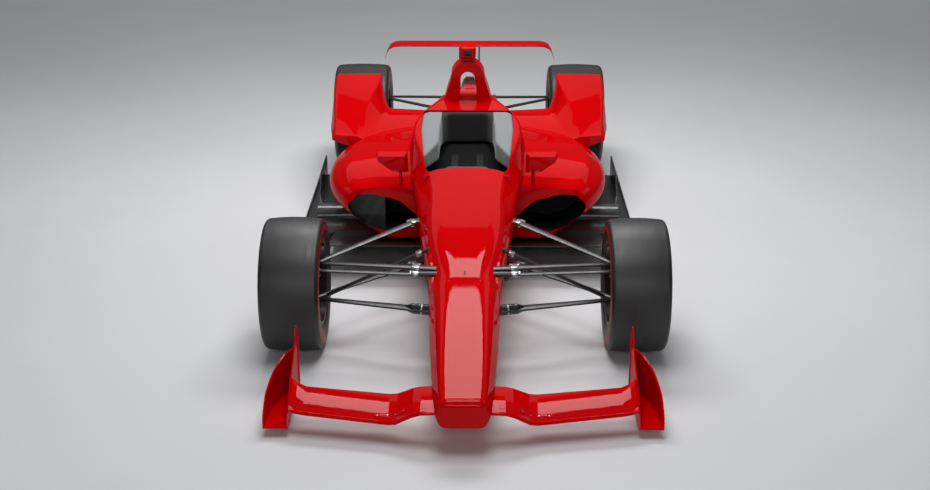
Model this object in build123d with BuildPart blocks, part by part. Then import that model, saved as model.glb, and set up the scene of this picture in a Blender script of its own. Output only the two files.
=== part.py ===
"""Open wheel racing car for high speed ovals.

Millimetres, +Z up, the nose points to -Y and the driver's left is +X.  The origin is on the
ground, midway along the car.  Stations are distances behind the front axle.
"""

import math
import os

from build123d import *

os.makedirs("parts", exist_ok=True)

# ------------------------------------------------------------------ driving dimensions
overall_length = 5120.0
front_overhang = 1120.0
wheelbase = 3050.0

front_tyre_radius = 326.0
front_tyre_width = 283.0
front_half_width = 968.0
rear_tyre_radius = 352.0
rear_tyre_width = 370.0
rear_half_width = 915.0
rim_radius = 190.0

tub_wall = 32.0
cover_wall = 8.0
seat_gap = 0.5
running_gap = 0.05
joint_gap = 0.4

floor_low = 30.0
floor_thickness = 14.0
floor_half_width = 997.0

tub_front = -250.0
tub_rear = 1860.0
cover_rear = 3180.0

front_axle_y = -overall_length / 2 + front_overhang
rear_axle_y = front_axle_y + wheelbase
tail_station = overall_length - front_overhang
floor_top = floor_low + floor_thickness
sides = {"left": 1, "right": -1}


def at(station):
    """The Y of a station."""
    return front_axle_y + station


def point(x, station, z):
    """A point given by its station."""
    return Vector(x, at(station), z)


def save(piece, name):
    """Names a finished piece and writes it."""
    piece.label = name
    export_step(piece, f"parts/{name}.step")


def mirrored(piece):
    """The piece's mirror image on the car's other side."""
    return piece.mirror(Plane.YZ)


def pair(piece):
    """A piece and its mirror image as one node of two solids."""
    return Compound(children=[*piece.solids(), *mirrored(piece).solids()])


def outline(plane, points, radii):
    """A face with straight sides and rounded corners on a plane."""
    with BuildSketch(plane) as sketch:
        with BuildLine():
            FilletPolyline(*points, radius=radii, close=True)
        make_face()
    return sketch.sketch


def prism(plane, points, radii, amount):
    """An outline extruded from its plane."""
    with BuildPart() as piece:
        extrude(outline(plane, points, radii), amount=amount)
    return piece.part


def lens(plane, chord, thickness):
    """A streamlined section: two shallow arcs with blunt ends."""
    half, blunt = chord / 2, thickness * 0.18
    with BuildSketch(plane) as sketch:
        with BuildLine():
            upper = ThreePointArc((-half, blunt), (0, thickness / 2), (half, blunt))
            tail = Line(upper @ 1, (half, -blunt))
            lower = ThreePointArc(tail @ 1, (0, -thickness / 2), (-half, -blunt))
            Line(lower @ 1, upper @ 0)
        make_face()
    return sketch.sketch


def bar(start, end, chord, thickness, end_chord=None, end_thickness=None):
    """A straight streamlined rod, its long section axis level, that may grow to its end."""
    run = end - start
    level = run.cross(Vector(0, 0, 1)).normalized()
    place = Plane(origin=start, x_dir=level, z_dir=run.normalized())
    with BuildPart() as piece:
        if end_chord is None:
            extrude(lens(place, chord, thickness), amount=run.length)
        else:
            last = lens(place.offset(run.length), end_chord, end_thickness or thickness)
            loft(sections=[lens(place, chord, thickness), last])
    return piece.part


def round_bar(start, end, radius, end_radius=None):
    """A straight round or tapered rod between two points."""
    run = end - start
    with BuildPart() as piece:
        with BuildSketch(Plane(origin=start, z_dir=run.normalized())):
            Circle(radius)
        if end_radius is None:
            extrude(amount=run.length)
        else:
            with BuildSketch(Plane(origin=end, z_dir=run.normalized())):
                Circle(end_radius)
            loft()
    return piece.part


def block(x_low, x_high, station_low, station_high, z_low, z_high):
    """A plain box between six planes."""
    with BuildPart() as piece:
        with Locations(point((x_low + x_high) / 2, (station_low + station_high) / 2, (z_low + z_high) / 2)):
            Box(x_high - x_low, station_high - station_low, z_high - z_low)
    return piece.part


# ------------------------------------------------------------------ nose and survival cell
# station, half width and height at the keel, at the widest line and at the deck, corner radii
nose_sections = [
    # station, half width and height at the keel, the widest line and the deck, corner radii
    (-front_overhang, 93, 123, 118, 183, 90, 255, 40, 54, 38),
    (-1070, 95, 121, 122, 184, 94, 266, 40, 54, 38),
    (-800, 112, 120, 146, 225, 106, 334, 36, 80, 50),
    (-525, 120, 137, 164, 285, 114, 400, 30, 110, 78),
    (tub_front, 126, 160, 179, 345, 126, 462, 32, 130, 112),
]
nose_tip_radius = 38.0
cell_sections = [
    (tub_front, 126, 160, 179, 345, 126, 462, 32, 130, 112),
    (60, 142, 130, 212, 440, 146, 538, 34, 120, 100),
    (460, 176, 84, 252, 495, 172, 610, 36, 110, 88),
    (850, 214, 46, 292, 550, 206, 668, 38, 90, 70),
    (1200, 240, 40, 322, 600, 292, 722, 40, 60, 34),
    (1560, 246, 40, 322, 630, 262, 778, 40, 70, 40),
    (tub_rear, 246, 40, 300, 630, 150, 800, 40, 80, 60),
]
cover_low = 120.0
cover_sections = [
    (tub_rear + seat_gap, 253, cover_low, 300, 630, 150, 800, 4, 80, 60),
    (2200, 238, cover_low, 272, 540, 100, 742, 4, 80, 60),
    (2650, 176, cover_low, 190, 440, 70, 640, 4, 70, 50),
    (cover_rear, 96, cover_low, 106, 380, 44, 540, 4, 50, 34),
]


def hull_section(station, low_half, low, mid_half, mid, top_half, top, low_r, mid_r, top_r, inset=0.0):
    """A closed six sided section across the body, drawn in by the inset."""
    right = [
        (low_half - inset, low + inset),
        (mid_half - inset, mid),
        (top_half - inset, top - inset),
    ]
    left = [(-x, z) for x, z in reversed(right)]
    radii = [low_r, mid_r, top_r, top_r, mid_r, low_r]
    return outline(Plane.XZ.offset(-at(station)), right + left, [max(r - inset, 4.0) for r in radii])


def hull(sections, inset=0.0, ruled=False):
    """A smooth body through its sections, drawn in by the inset."""
    with BuildPart() as body:
        loft(sections=[hull_section(*row, inset=inset) for row in sections], ruled=ruled)
    return body.part


tub_envelope = hull(cell_sections, -seat_gap)
cover_envelope = hull(cover_sections, -seat_gap)
nose_envelope = hull(nose_sections[1:], -seat_gap)

with BuildPart() as nose_cone:
    add(hull(nose_sections[1:]))
    add(hull(nose_sections[:2], ruled=True))
    fillet(nose_cone.faces().sort_by(Axis.Y)[0].edges(), nose_tip_radius)
save(nose_cone.part, "nose_cone")

# cockpit opening seen from above: station and half width round the rim
rim_points = [(822, 60), (806, 130), (782, 198), (860, 222), (1010, 240), (1330, 262), (1568, 257)]
rim_radii = [120, 200, 24, 120, 300, 600, 30]
rim_floor = 520.0
rim_roof = 900.0


def rim_outline(height, inset=0.0):
    """The cockpit opening on a level plane, drawn in by the inset."""
    first, last = min(s for s, _ in rim_points), rim_points[-1][0]
    right = [(x - inset, at(min(max(s, first + inset), last - inset))) for s, x in rim_points]
    left = [(-x, y) for x, y in reversed(right)]
    radii = [max(r - inset, 5.0) for r in rim_radii]
    return outline(Plane.XY.offset(height), right + left, radii + radii[::-1])


cavity_sections = [
    (tub_front + 90, *cell_sections[0][1:]),
    *cell_sections[1:5],
    (1640, 246, 40, 320, 630, 254, 786, 40, 72, 42),
]
column_radius = 14.0
dash_station = 760.0
wheel_hub = point(0, 925, 556)
column_tilt = 14.0
column_axis = Vector(0, math.cos(math.radians(column_tilt)), math.sin(math.radians(column_tilt)))
column_at_dash = wheel_hub - column_axis * ((925 - dash_station) / math.cos(math.radians(column_tilt)))

# steering rack bore across the cell
rack_inner_station = -150.0
rack_z = 438.0
rack_radius = 13.0

with BuildPart() as monocoque:
    add(hull(cell_sections))
    add(block(-400, 400, 300, tub_rear + 50, -100, floor_top + seat_gap), mode=Mode.SUBTRACT)
    add(hull(cavity_sections, tub_wall), mode=Mode.SUBTRACT)
    extrude(rim_outline(rim_floor), amount=rim_roof - rim_floor, mode=Mode.SUBTRACT)
    # dash bulkhead with the column bearing
    dash = prism(
        Plane.XZ.offset(-at(dash_station - 12)),
        [(-235, 640), (-235, 500), (-60, 470), (60, 470), (235, 500), (235, 640)],
        [20, 60, 20, 20, 60, 20],
        -24,
    )
    add(dash)
    bearing = round_bar(column_at_dash - column_axis * 30, column_at_dash + column_axis * 30, column_radius + 14)
    add(bearing)
    add(
        round_bar(column_at_dash - column_axis * 60, column_at_dash + column_axis * 60, column_radius + running_gap),
        mode=Mode.SUBTRACT,
    )
    add(
        round_bar(point(-300, rack_inner_station, rack_z), point(300, rack_inner_station, rack_z), rack_radius + joint_gap),
        mode=Mode.SUBTRACT,
    )
save(monocoque.part, "monocoque")

# ------------------------------------------------------------------ engine cover
bay_drop = 200.0


def opened(station, low_half, low, mid_half, mid, *rest):
    """A section whose sides run on downwards, so that a cut with it leaves no bottom."""
    return (station, low_half - (mid_half - low_half) * bay_drop / (mid - low), low - bay_drop, mid_half, mid, *rest)


bay_sections = [
    (tub_rear - 60, *cover_sections[0][1:]),
    *cover_sections[1:3],
    (cover_rear + 60, 90, cover_low, 98, 370, 36, 526, 4, 50, 34),
]
tail_cut_station = 2700.0
tail_cut_z = 470.0
exhaust_radius = 38.0

with BuildPart() as engine_cover:
    add(hull(cover_sections))
    add(hull([opened(*row) for row in bay_sections], cover_wall), mode=Mode.SUBTRACT)
    add(block(-400, 400, tail_cut_station, cover_rear + 100, 0, tail_cut_z), mode=Mode.SUBTRACT)
    for side in sides.values():
        add(round_bar(point(side * 70, 2560, 470), point(side * 97, 2830, 563), exhaust_radius + seat_gap),
            mode=Mode.SUBTRACT)
save(engine_cover.part, "engine_cover")

# ------------------------------------------------------------------ roll hoop and camera pod
hoop_front = 1720.0
hoop_rear = 1880.0
# height, outer half width, inner half width
hoop_rows = [
    (700, 166, 58),
    (800, 140, 55),
    (862, 122, 51),
    (925, 100, 42),
]
hoop_top = 1030.0
hoop_hole_top = 972.0


def hoop_face(plane, half, top):
    """One side of the arch, straight legs and a round crown."""
    with BuildSketch(plane) as sketch:
        with BuildLine():
            legs = [(x, z) for z, x in half]
            Polyline(*legs)
            Polyline(*[(-x, z) for x, z in legs])
            ThreePointArc(legs[-1], (0, top), (-legs[-1][0], legs[-1][1]))
            Line(legs[0], (-legs[0][0], legs[0][1]))
        make_face()
    return sketch.sketch


with BuildPart() as roll_hoop:
    front_plane = Plane.XZ.offset(-at(hoop_front))
    extrude(hoop_face(front_plane, [(z, x) for z, x, _ in hoop_rows], hoop_top), amount=-(hoop_rear - hoop_front))
    extrude(
        hoop_face(front_plane, [(z, x) for z, _, x in hoop_rows], hoop_hole_top),
        amount=-(hoop_rear - hoop_front),
        mode=Mode.SUBTRACT,
    )
    add(tub_envelope, mode=Mode.SUBTRACT)
    add(cover_envelope, mode=Mode.SUBTRACT)
save(roll_hoop.part, "roll_hoop")

pod_station = 1800.0
pod_low, pod_top = 1052.0, 1122.0
pod_half_width, pod_length = 47.0, 190.0
with BuildPart() as camera_pod:
    with Locations(point(0, pod_station, (pod_low + pod_top) / 2)):
        Box(2 * pod_half_width, pod_length, pod_top - pod_low)
    fillet(camera_pod.edges().filter_by(Axis.Y), 18)
    fillet(camera_pod.edges().group_by(Axis.Y)[0], 14)
    fillet(camera_pod.edges().group_by(Axis.Y)[-1], 14)
    stalk = prism(
        Plane.XY.offset(hoop_top - 20),
        [(0, at(pod_station - 60)), (18, at(pod_station - 20)), (0, at(pod_station + 70)), (-18, at(pod_station - 20))],
        [4, 20, 3, 20],
        pod_low - hoop_top + 30,
    )
    add(stalk)
    add(
        prism(front_plane, [(-140, 800), (140, 800), (140, hoop_top + seat_gap), (-140, hoop_top + seat_gap)], [0] * 4, -400),
        mode=Mode.SUBTRACT,
    )
save(camera_pod.part, "camera_pod")

# ------------------------------------------------------------------ cockpit
pad_low = 600.0
# inner face of the pads seen from above: station and half width
pad_points = [(700, 300), (960, 300), (1010, 222), (1160, 160), (1380, 157), (1480, 146), (1540, 110)]
pad_radii = [0, 0, 20, 80, 200, 60, 40]
with BuildPart() as head_pads:
    extrude(rim_outline(pad_low, seat_gap), amount=rim_roof - pad_low)
    right = [(x, at(s)) for s, x in pad_points]
    left = [(-x, y) for x, y in reversed(right)]
    head_space = outline(Plane.XY.offset(pad_low - 10), right + left, pad_radii + pad_radii[::-1])
    extrude(head_space, amount=rim_roof - pad_low + 20, mode=Mode.SUBTRACT)
    add(hull(cell_sections, 8.0), mode=Mode.INTERSECT)
save(head_pads.part, "head_pads")

seat_half = 190.0
seat_profile = [
    (1010, floor_top + 20), (1330, floor_top + 20), (1590, 560), (1560, 580),
    (1290, floor_top + tub_wall + 60), (1190, floor_top + tub_wall + 40), (1010, floor_top + tub_wall + 120),
]
with BuildPart() as seat:
    with BuildSketch(Plane.YZ.offset(-seat_half)):
        with BuildLine():
            FilletPolyline(*[(at(s), z) for s, z in seat_profile], radius=[8, 60, 10, 10, 90, 60, 10], close=True)
        make_face()
    extrude(amount=2 * seat_half)
    add(hull(cavity_sections, tub_wall + joint_gap), mode=Mode.INTERSECT)
save(seat.part, "seat")

# steering wheel: a flat bottomed rim with two grips, its hub and column
grip_half = 132.0
grip_height = 164.0
with BuildPart() as steering_wheel:
    wheel_plane = Plane(origin=wheel_hub, x_dir=(1, 0, 0), z_dir=column_axis)
    with BuildSketch(wheel_plane.offset(-16)):
        RectangleRounded(2 * grip_half, grip_height, 42)
        with Locations((-62, 22), (62, 22)):
            SlotOverall(64, 40, rotation=90, mode=Mode.SUBTRACT)
    extrude(amount=32)
    with BuildSketch(wheel_plane.offset(-30)):
        Circle(26)
    extrude(amount=30)
    add(round_bar(column_at_dash - column_axis * 110, wheel_hub, column_radius))
save(steering_wheel.part, "steering_wheel")

# ------------------------------------------------------------------ engine and gearbox
engine_front, engine_rear = 1900.0, 2380.0
engine_half, engine_low, engine_top = 190.0, 124.0, 470.0
with BuildPart() as engine:
    add(block(-engine_half, engine_half, engine_front, engine_rear, engine_low, engine_top))
    chamfer(engine.edges().filter_by(Axis.Y).group_by(Axis.Z)[-1], 90)
    add(block(-150, 150, tub_rear + seat_gap, engine_front, engine_low, 440))
save(engine.part, "engine")

gearbox_rows = [
    # station, half width, low, top, radius
    (engine_rear + seat_gap, 150, 90, 440, 50),
    (2600, 96, 110, 400, 40),
    (2900, 104, 110, 430, 40),
    (3250, 100, 130, 430, 40),
    (3420, 84, 180, 400, 30),
]


def box_section(station, half, low, top, radius):
    """A rounded rectangle across the car."""
    return outline(Plane.XZ.offset(-at(station)), [(half, low), (half, top), (-half, top), (-half, low)], [radius] * 4)


gearbox_envelope_rows = [(s, h + seat_gap, lo - seat_gap, t + seat_gap, r) for s, h, lo, t, r in gearbox_rows]
with BuildPart() as gearbox_envelope:
    loft(sections=[box_section(*row) for row in gearbox_envelope_rows])

output_radius = 30.0
output_x = 150.0
with BuildPart() as gearbox:
    loft(sections=[box_section(*row) for row in gearbox_rows])
    add(
        round_bar(
            Vector(-output_x, rear_axle_y, rear_tyre_radius),
            Vector(output_x, rear_axle_y, rear_tyre_radius),
            output_radius + 26,
        )
    )
    for side in sides.values():
        add(
            round_bar(
                Vector(side * (output_x + 1), rear_axle_y, rear_tyre_radius),
                Vector(side * (output_x - 60), rear_axle_y, rear_tyre_radius),
                output_radius + running_gap,
            ),
            mode=Mode.SUBTRACT,
        )
save(gearbox.part, "gearbox")

# the two tunnels under the car's tail: stations and heights of their roofs
tunnel_stations, tunnel_heights = (2340, 2950, 3560), (34, 84, 210)
tunnel_inner_x, tunnel_outer_x = 157.0, 528.0
skin = 8.0


def curved_plate(stations, heights, x_low, x_high, thickness):
    """A plate bent along the car, given the start, a middle and the end."""
    (s0, s1, s2), (z0, z1, z2) = stations, heights
    with BuildPart() as plate:
        with BuildSketch(Plane.YZ.offset(x_low)):
            with BuildLine():
                top = ThreePointArc((at(s0), z0 + thickness), (at(s1), z1 + thickness), (at(s2), z2 + thickness))
                rear = Line(top @ 1, (at(s2), z2))
                under = ThreePointArc(rear @ 1, (at(s1), z1), (at(s0), z0))
                Line(under @ 1, top @ 0)
            make_face()
        extrude(amount=x_high - x_low)
    return plate.part


# ------------------------------------------------------------------ side pods
# station, bottom z, keel x, widest x and z, shoulder x and z, inner deck z, corner radii
pod_sections = [
    # station, low, keel_x, max_x, max_z, top_x, top_z, deck_z, keel_r, max_r, top_r
    (1040, 182, 466, 744, 400, 628, 492, 512, 40, 90, 80),
    (1380, 110, 535, 852, 416, 692, 540, 586, 50, 100, 90),
    (1720, 58, 556, 858, 405, 682, 524, 596, 60, 110, 90),
    (2060, 46, 545, 802, 388, 620, 484, 556, 60, 100, 80),
    (2400, 46, 450, 640, 356, 490, 428, 490, 50, 70, 60),
    (2740, 46, 280, 380, 304, 300, 350, 388, 40, 40, 30),
]
lip_section = (1018, 196, 452, 722, 398, 608, 478, 498, 36, 80, 70)
pod_inner_x = 120.0


def pod_section(station, low, keel_x, max_x, max_z, top_x, top_z, deck_z, keel_r, max_r, top_r, inset=0.0):
    """A section across the left side pod, drawn in by the inset."""
    points = [
        (pod_inner_x, low + inset),
        (keel_x - inset, low + inset),
        (max_x - inset, max_z),
        (top_x - inset * 0.4, top_z - inset),
        (pod_inner_x, deck_z - inset),
    ]
    radii = [5, keel_r, max_r, top_r, 5]
    return outline(Plane.XZ.offset(-at(station)), points, radii)


def pod_body(inset=0.0):
    """The left side pod's outer body through its sections, down to the floor."""
    with BuildPart() as body:
        loft(sections=[pod_section(*row, inset=inset) for row in pod_sections])
        loft(sections=[pod_section(*row, inset=inset) for row in (lip_section, pod_sections[0])], ruled=True)
        add(block(0, 1200, 800, 3500, -200, floor_top - inset), mode=Mode.SUBTRACT)
    return body.part


pod_envelope = pod_body(-seat_gap)
duct_rear = 1420.0
radiator_station = 1300.0
# air intake in the front face
intake_points = [(278, 258), (470, 232), (566, 264), (640, 320), (668, 388), (604, 446), (520, 448), (372, 410), (278, 320)]
intake_radii = [10, 60, 50, 60, 34, 40, 60, 120, 10]

with BuildPart() as sidepod:
    add(pod_body())
    add(block(0, 1200, 800, 3500, 0, floor_top + seat_gap), mode=Mode.SUBTRACT)
    add(prism(Plane.XZ.offset(-at(900)), intake_points, intake_radii, -(duct_rear - 900)), mode=Mode.SUBTRACT)
    add(tub_envelope, mode=Mode.SUBTRACT)
    add(cover_envelope, mode=Mode.SUBTRACT)
    add(block(0, engine_half + 30, tub_rear - 100, 3000, 0, engine_top), mode=Mode.SUBTRACT)
    under_roof = [z + skin + seat_gap - 200 for z in tunnel_heights]
    add(curved_plate(tunnel_stations, under_roof, 0, 700, 200), mode=Mode.SUBTRACT)
    sidepod_piece = sidepod.solids().sort_by(SortBy.VOLUME)[-1]

save(Part() + sidepod_piece, "sidepod_left")
save(mirrored(Part() + sidepod_piece), "sidepod_right")

# radiator core: a slab with cooling fins that fills the duct
radiator_thickness = 60.0
fin_pitch, fin_count, fin_low = 16.0, 13, 240.0
with BuildPart() as radiator:
    add(prism(Plane.XZ.offset(-at(radiator_station)), intake_points, intake_radii, -radiator_thickness))
    for fin in range(fin_count):
        z_fin = fin_low + fin_pitch * fin
        add(block(250, 720, radiator_station - 5, radiator_station + 9, z_fin, z_fin + fin_pitch * 0.45),
            mode=Mode.SUBTRACT)
    add(tub_envelope, mode=Mode.SUBTRACT)
radiator_piece = Part() + radiator.solids().sort_by(SortBy.VOLUME)[-1]
save(pair(radiator_piece), "radiators")

# blanking plate over the outer part of the right hand intake
blank_station, blank_thickness, blank_edge_x = 1075.0, 4.0, 458.0
with BuildPart() as blank:
    add(prism(Plane.XZ.offset(-at(blank_station)), intake_points, intake_radii, -blank_thickness))
    add(block(0, blank_edge_x, blank_station - 10, blank_station + 20, 0, 800), mode=Mode.SUBTRACT)
save(mirrored(blank.part), "intake_blank_right")

# ------------------------------------------------------------------ mirrors
with BuildPart() as mirror_housing:
    with BuildSketch(Plane.XZ.offset(-at(1050))):
        with BuildLine():
            FilletPolyline((323, 562), (410, 568), (492, 626), (507, 684), (327, 684),
                           radius=[14, 40, 30, 12, 14], close=True)
        make_face()
    with BuildSketch(Plane.XZ.offset(-at(985))):
        with BuildLine():
            FilletPolyline((340, 594), (416, 602), (480, 646), (486, 674), (343, 674),
                           radius=[12, 24, 12, 8, 12], close=True)
        make_face()
    loft()
    add(round_bar(point(370, 1028, 630), point(362, 1060, 450), 9))
    add(tub_envelope, mode=Mode.SUBTRACT)
    add(pod_envelope, mode=Mode.SUBTRACT)
mirror_piece = Part() + mirror_housing.solids().sort_by(SortBy.VOLUME)[-1]
save(pair(mirror_piece), "mirrors")

# ------------------------------------------------------------------ floor, tunnels, vanes
flap_stations, flap_heights = (1745, 1770, 1820), (floor_top - 6, 88, 110)
flap_end_x, board_x = 926.0, 954.0
floor_plan = [
    (234, 830), (246, 1300), (430, 1490), (floor_half_width, 1510), (floor_half_width, 2640), (540, 2660), (528, 3420),
]

with BuildPart() as floor:
    right = [(x, at(s)) for x, s in floor_plan]
    left = [(-x, y) for x, y in reversed(right)]
    with BuildSketch(Plane.XY.offset(floor_low)):
        with BuildLine():
            Polyline(*right, *left, close=True)
        make_face()
    extrude(amount=floor_thickness)
    # low lips along the outer edges, and a kicked up flap with its end fence beside each pod
    with BuildPart(mode=Mode.PRIVATE) as flap:
        lip_face = [(at(1530), floor_low), (at(2640), floor_low), (at(2640), 70), (at(1540), 50)]
        add(prism(Plane.YZ.offset(floor_half_width - skin), lip_face, [0] * 4, skin))
        add(curved_plate(flap_stations, flap_heights, 480, flap_end_x, skin))
        end_face = [(at(1752), floor_top - 2), (at(1772), 92), (at(1816), 113), (at(1816), floor_top - 2)]
        add(prism(Plane.YZ.offset(flap_end_x - skin), end_face, [0] * 4, skin))
        board_face = [(at(2190), floor_top - 2), (at(2640), floor_top - 2), (at(2640), 180), (at(2290), 166)]
        add(prism(Plane.YZ.offset(board_x), board_face, [0] * 4, skin))
        add(pod_envelope, mode=Mode.SUBTRACT)
    add(flap.part)
    add(mirrored(flap.part))
    # two rising tunnels under the gearbox: their roofs and side walls
    with BuildPart(mode=Mode.PRIVATE) as tunnel:
        for x in (tunnel_inner_x, tunnel_outer_x - skin):
            add(block(x, x + skin, tunnel_stations[0], tunnel_stations[-1], floor_low, 300))
        above = [z + skin for z in tunnel_heights]
        add(curved_plate(tunnel_stations, above, 0, 600, 400), mode=Mode.SUBTRACT)
        add(curved_plate(tunnel_stations, tunnel_heights, tunnel_inner_x, tunnel_outer_x, skin))
    for side in sides.values():
        add(
            block(*sorted((side * (tunnel_inner_x + skin), side * (tunnel_outer_x - skin))),
                  tunnel_stations[0] + 20, 3600, 0, floor_top),
            mode=Mode.SUBTRACT,
        )
    add(tunnel.part)
    add(mirrored(tunnel.part))
save(floor.part, "floor")

# ------------------------------------------------------------------ rear wheel ramps
ramp_sections = [
    # station, foot_x, low z, outer low x, z, outer top x, z, inner top x, z, elbow x, z, foot z, edge radius
    (2120, 560, 330, 866, 440, 838, 472, 700, 460, 640, 434, 424, 8),
    (2300, 300, 300, 889, 428, 856, 516, 690, 524, 600, 470, 440, 20),
    (2540, 230, 290, 914, 380, 882, 600, 636, 612, 548, 500, 482, 28),
    (2830, 190, 300, 926, 400, 891, 694, 588, 697, 545, 450, 424, 28),
]


def ramp_section(station, foot_x, low, d, dz, c, cz, b, bz, elbow_x, elbow_z, foot_z, edge_r):
    """A section across the left ramp, with the foot that runs in to the engine cover."""
    points = [(foot_x, low), (d, dz), (c, cz), (b, bz), (elbow_x, elbow_z), (foot_x, foot_z)]
    return outline(Plane.XZ.offset(-at(station)), points, [8, edge_r, edge_r, 12, 50, 8])


tyre_clearance, tyre_side_clearance = 36.0, 24.0
with BuildPart() as ramp:
    loft(sections=[ramp_section(*row) for row in ramp_sections])
    with BuildSketch(Plane.YZ.offset(rear_half_width - rear_tyre_width - tyre_side_clearance)):
        with Locations((rear_axle_y, rear_tyre_radius)):
            Circle(rear_tyre_radius + tyre_clearance)
    extrude(amount=900, mode=Mode.SUBTRACT)
    add(pod_envelope, mode=Mode.SUBTRACT)
    add(cover_envelope, mode=Mode.SUBTRACT)
ramp_piece = Part() + ramp.solids().sort_by(SortBy.VOLUME)[-1]
save(ramp_piece, "rear_wheel_ramp_left")
save(mirrored(ramp_piece), "rear_wheel_ramp_right")

# ------------------------------------------------------------------ front wing and endplates


def foil(x, lead_station, lead_z, trail_station, trail_z, thickness):
    """A wing section on a plane across X, as four edges."""
    chord = trail_station - lead_station
    nose_radius = thickness * 0.28
    y0, y1 = at(lead_station), at(trail_station)
    with BuildSketch(Plane.YZ.offset(x)) as sketch:
        with BuildLine():
            top = ThreePointArc(
                (y0 + nose_radius, lead_z + nose_radius),
                (y0 + chord * 0.45, (lead_z * 0.55 + trail_z * 0.45) + thickness * 0.42),
                (y1, trail_z + 3),
            )
            back = Line(top @ 1, (y1, trail_z - 3))
            under = ThreePointArc(
                back @ 1,
                (y0 + chord * 0.4, (lead_z * 0.6 + trail_z * 0.4) - thickness * 0.62),
                (y0 + nose_radius, lead_z - nose_radius),
            )
            ThreePointArc(under @ 1, (y0, lead_z), top @ 0)
        make_face()
    return sketch.sketch


front_wing_rows = [
    # x, leading station, z, trailing station, z, thickness
    (60, -1046, 166, -848, 196, 28),
    (180, -1044, 160, -843, 190, 28),
    (215, -1040, 148, -838, 180, 28),
    (285, -1024, 106, -824, 146, 27),
    (320, -1014, 98, -818, 140, 26),
    (690, -944, 106, -768, 150, 24),
    (728, -936, 110, -760, 164, 23),
    (752, -932, 118, -754, 184, 22),
]
with BuildPart() as wing_half:
    loft(sections=[foil(*row) for row in front_wing_rows], ruled=True)
    add(nose_envelope, mode=Mode.SUBTRACT)
wing_piece = Part() + wing_half.solids().sort_by(SortBy.VOLUME)[-1]
save(pair(wing_piece), "front_wing")

plate_x = 752.0 + seat_gap
plate_thickness = 7.0
fence_low, fence_high = 44.0, 262.0
# plan line of the outer fence, from its front corner inwards to the plate
fence_front, fence_middle, fence_end = (862.0, at(-956)), (842.0, at(-752)), (plate_x + 3.0, at(-548))
fence_thickness = 7.0
with BuildPart() as endplate:
    add(
        prism(
            Plane.YZ.offset(plate_x),
            [(at(-955), 44), (at(-520), 44), (at(-516), 300), (at(-556), 352), (at(-640), 268), (at(-800), 196), (at(-925), 108)],
            [6, 30, 30, 4, 90, 120, 40],
            plate_thickness,
        )
    )
    with BuildPart(mode=Mode.PRIVATE) as fence:
        with BuildSketch(Plane.XY.offset(fence_low)):
            with BuildLine():
                skin = ThreePointArc(fence_front, fence_middle, fence_end)
                lining = ThreePointArc(*[(x - fence_thickness, y - 4) for x, y in (fence_front, fence_middle, fence_end)])
                Line(skin @ 0, lining @ 0)
                Line(skin @ 1, lining @ 1)
            make_face()
        extrude(amount=fence_high - fence_low)
        crest = [
            (at(-980), 40), (at(-940), 100), (at(-860), 160), (at(-740), 214), (at(-640), 246), (at(-540), 250),
            (at(-540), 400), (at(-980), 400),
        ]
        add(prism(Plane.YZ.offset(700), crest, [0, 60, 120, 120, 80, 0, 0, 0], 300), mode=Mode.SUBTRACT)
    add(fence.part)
    foot = [(plate_x, at(-955)), (861, at(-955)), (841, at(-752)), (800, at(-640)), (plate_x, at(-600))]
    add(prism(Plane.XY.offset(44), foot, [0, 0, 60, 60, 0], 8))
save(pair(endplate.part), "front_endplates")

# ------------------------------------------------------------------ rear wing
wing_rows = [
    # x, leading station, z, trailing station, z, thickness
    (0, 3260, 791, 3480, 780, 22),
    (495, 3262, 791, 3478, 780, 21),
    (532, 3266, 785, 3477, 775, 19),
    (562, 3274, 768, 3475, 761, 17),
    (583, 3288, 734, 3472, 730, 14),
    (597, 3308, 688, 3468, 686, 11),
]
with BuildPart() as rear_half:
    loft(sections=[foil(*row) for row in wing_rows], ruled=True)
with BuildPart() as rear_wing:
    add(rear_half.part)
    add(mirrored(rear_half.part))
save(rear_wing.part, "rear_wing")

# ------------------------------------------------------------------ attenuator and wing pylons
attenuator_rows = [
    (3420 + seat_gap, 80, 190, 396, 26),
    (3600, 74, 220, 392, 24),
    (tail_station, 52, 270, 384, 18),
]
starter_radius, starter_depth, starter_z = 24.0, 90.0, 327.0
with BuildPart() as attenuator:
    loft(sections=[box_section(*row) for row in attenuator_rows])
    add(
        round_bar(point(0, tail_station - starter_depth, starter_z), point(0, tail_station, starter_z), starter_radius),
        mode=Mode.SUBTRACT,
    )
save(attenuator.part, "rear_attenuator")

pylon_x = 68.0
pylon_thickness = 10.0
with BuildPart() as pylon:
    add(
        prism(
            Plane.YZ.offset(pylon_x - pylon_thickness / 2),
            [(at(3260), 380), (at(3400), 380), (at(3440), 560), (at(3462), 800), (at(3290), 800), (at(3286), 560)],
            [0, 0, 60, 0, 0, 60],
            pylon_thickness,
        )
    )
    add(hull(cover_sections, -seat_gap), mode=Mode.SUBTRACT)
    add(gearbox_envelope.part, mode=Mode.SUBTRACT)
    with BuildPart(mode=Mode.PRIVATE) as wing_cutter:
        loft(sections=[foil(x, a - 1, b - 0.4, c + 1, d - 0.4, t + 1) for x, a, b, c, d, t in wing_rows[:2]])
        add(block(0, 300, 3200, 3560, 794, 1000))
    add(wing_cutter.part, mode=Mode.SUBTRACT)
pylon_piece = Part() + pylon.solids().sort_by(SortBy.VOLUME)[-1]
save(pair(pylon_piece), "wing_pylons")

with BuildPart() as rear_light:
    with Locations(point(0, tail_station - 60, 395)):
        Box(64, 50, 20)
    add(attenuator.part.moved(Location((0, 0, seat_gap))), mode=Mode.SUBTRACT)
save(rear_light.part, "rear_light")

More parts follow.
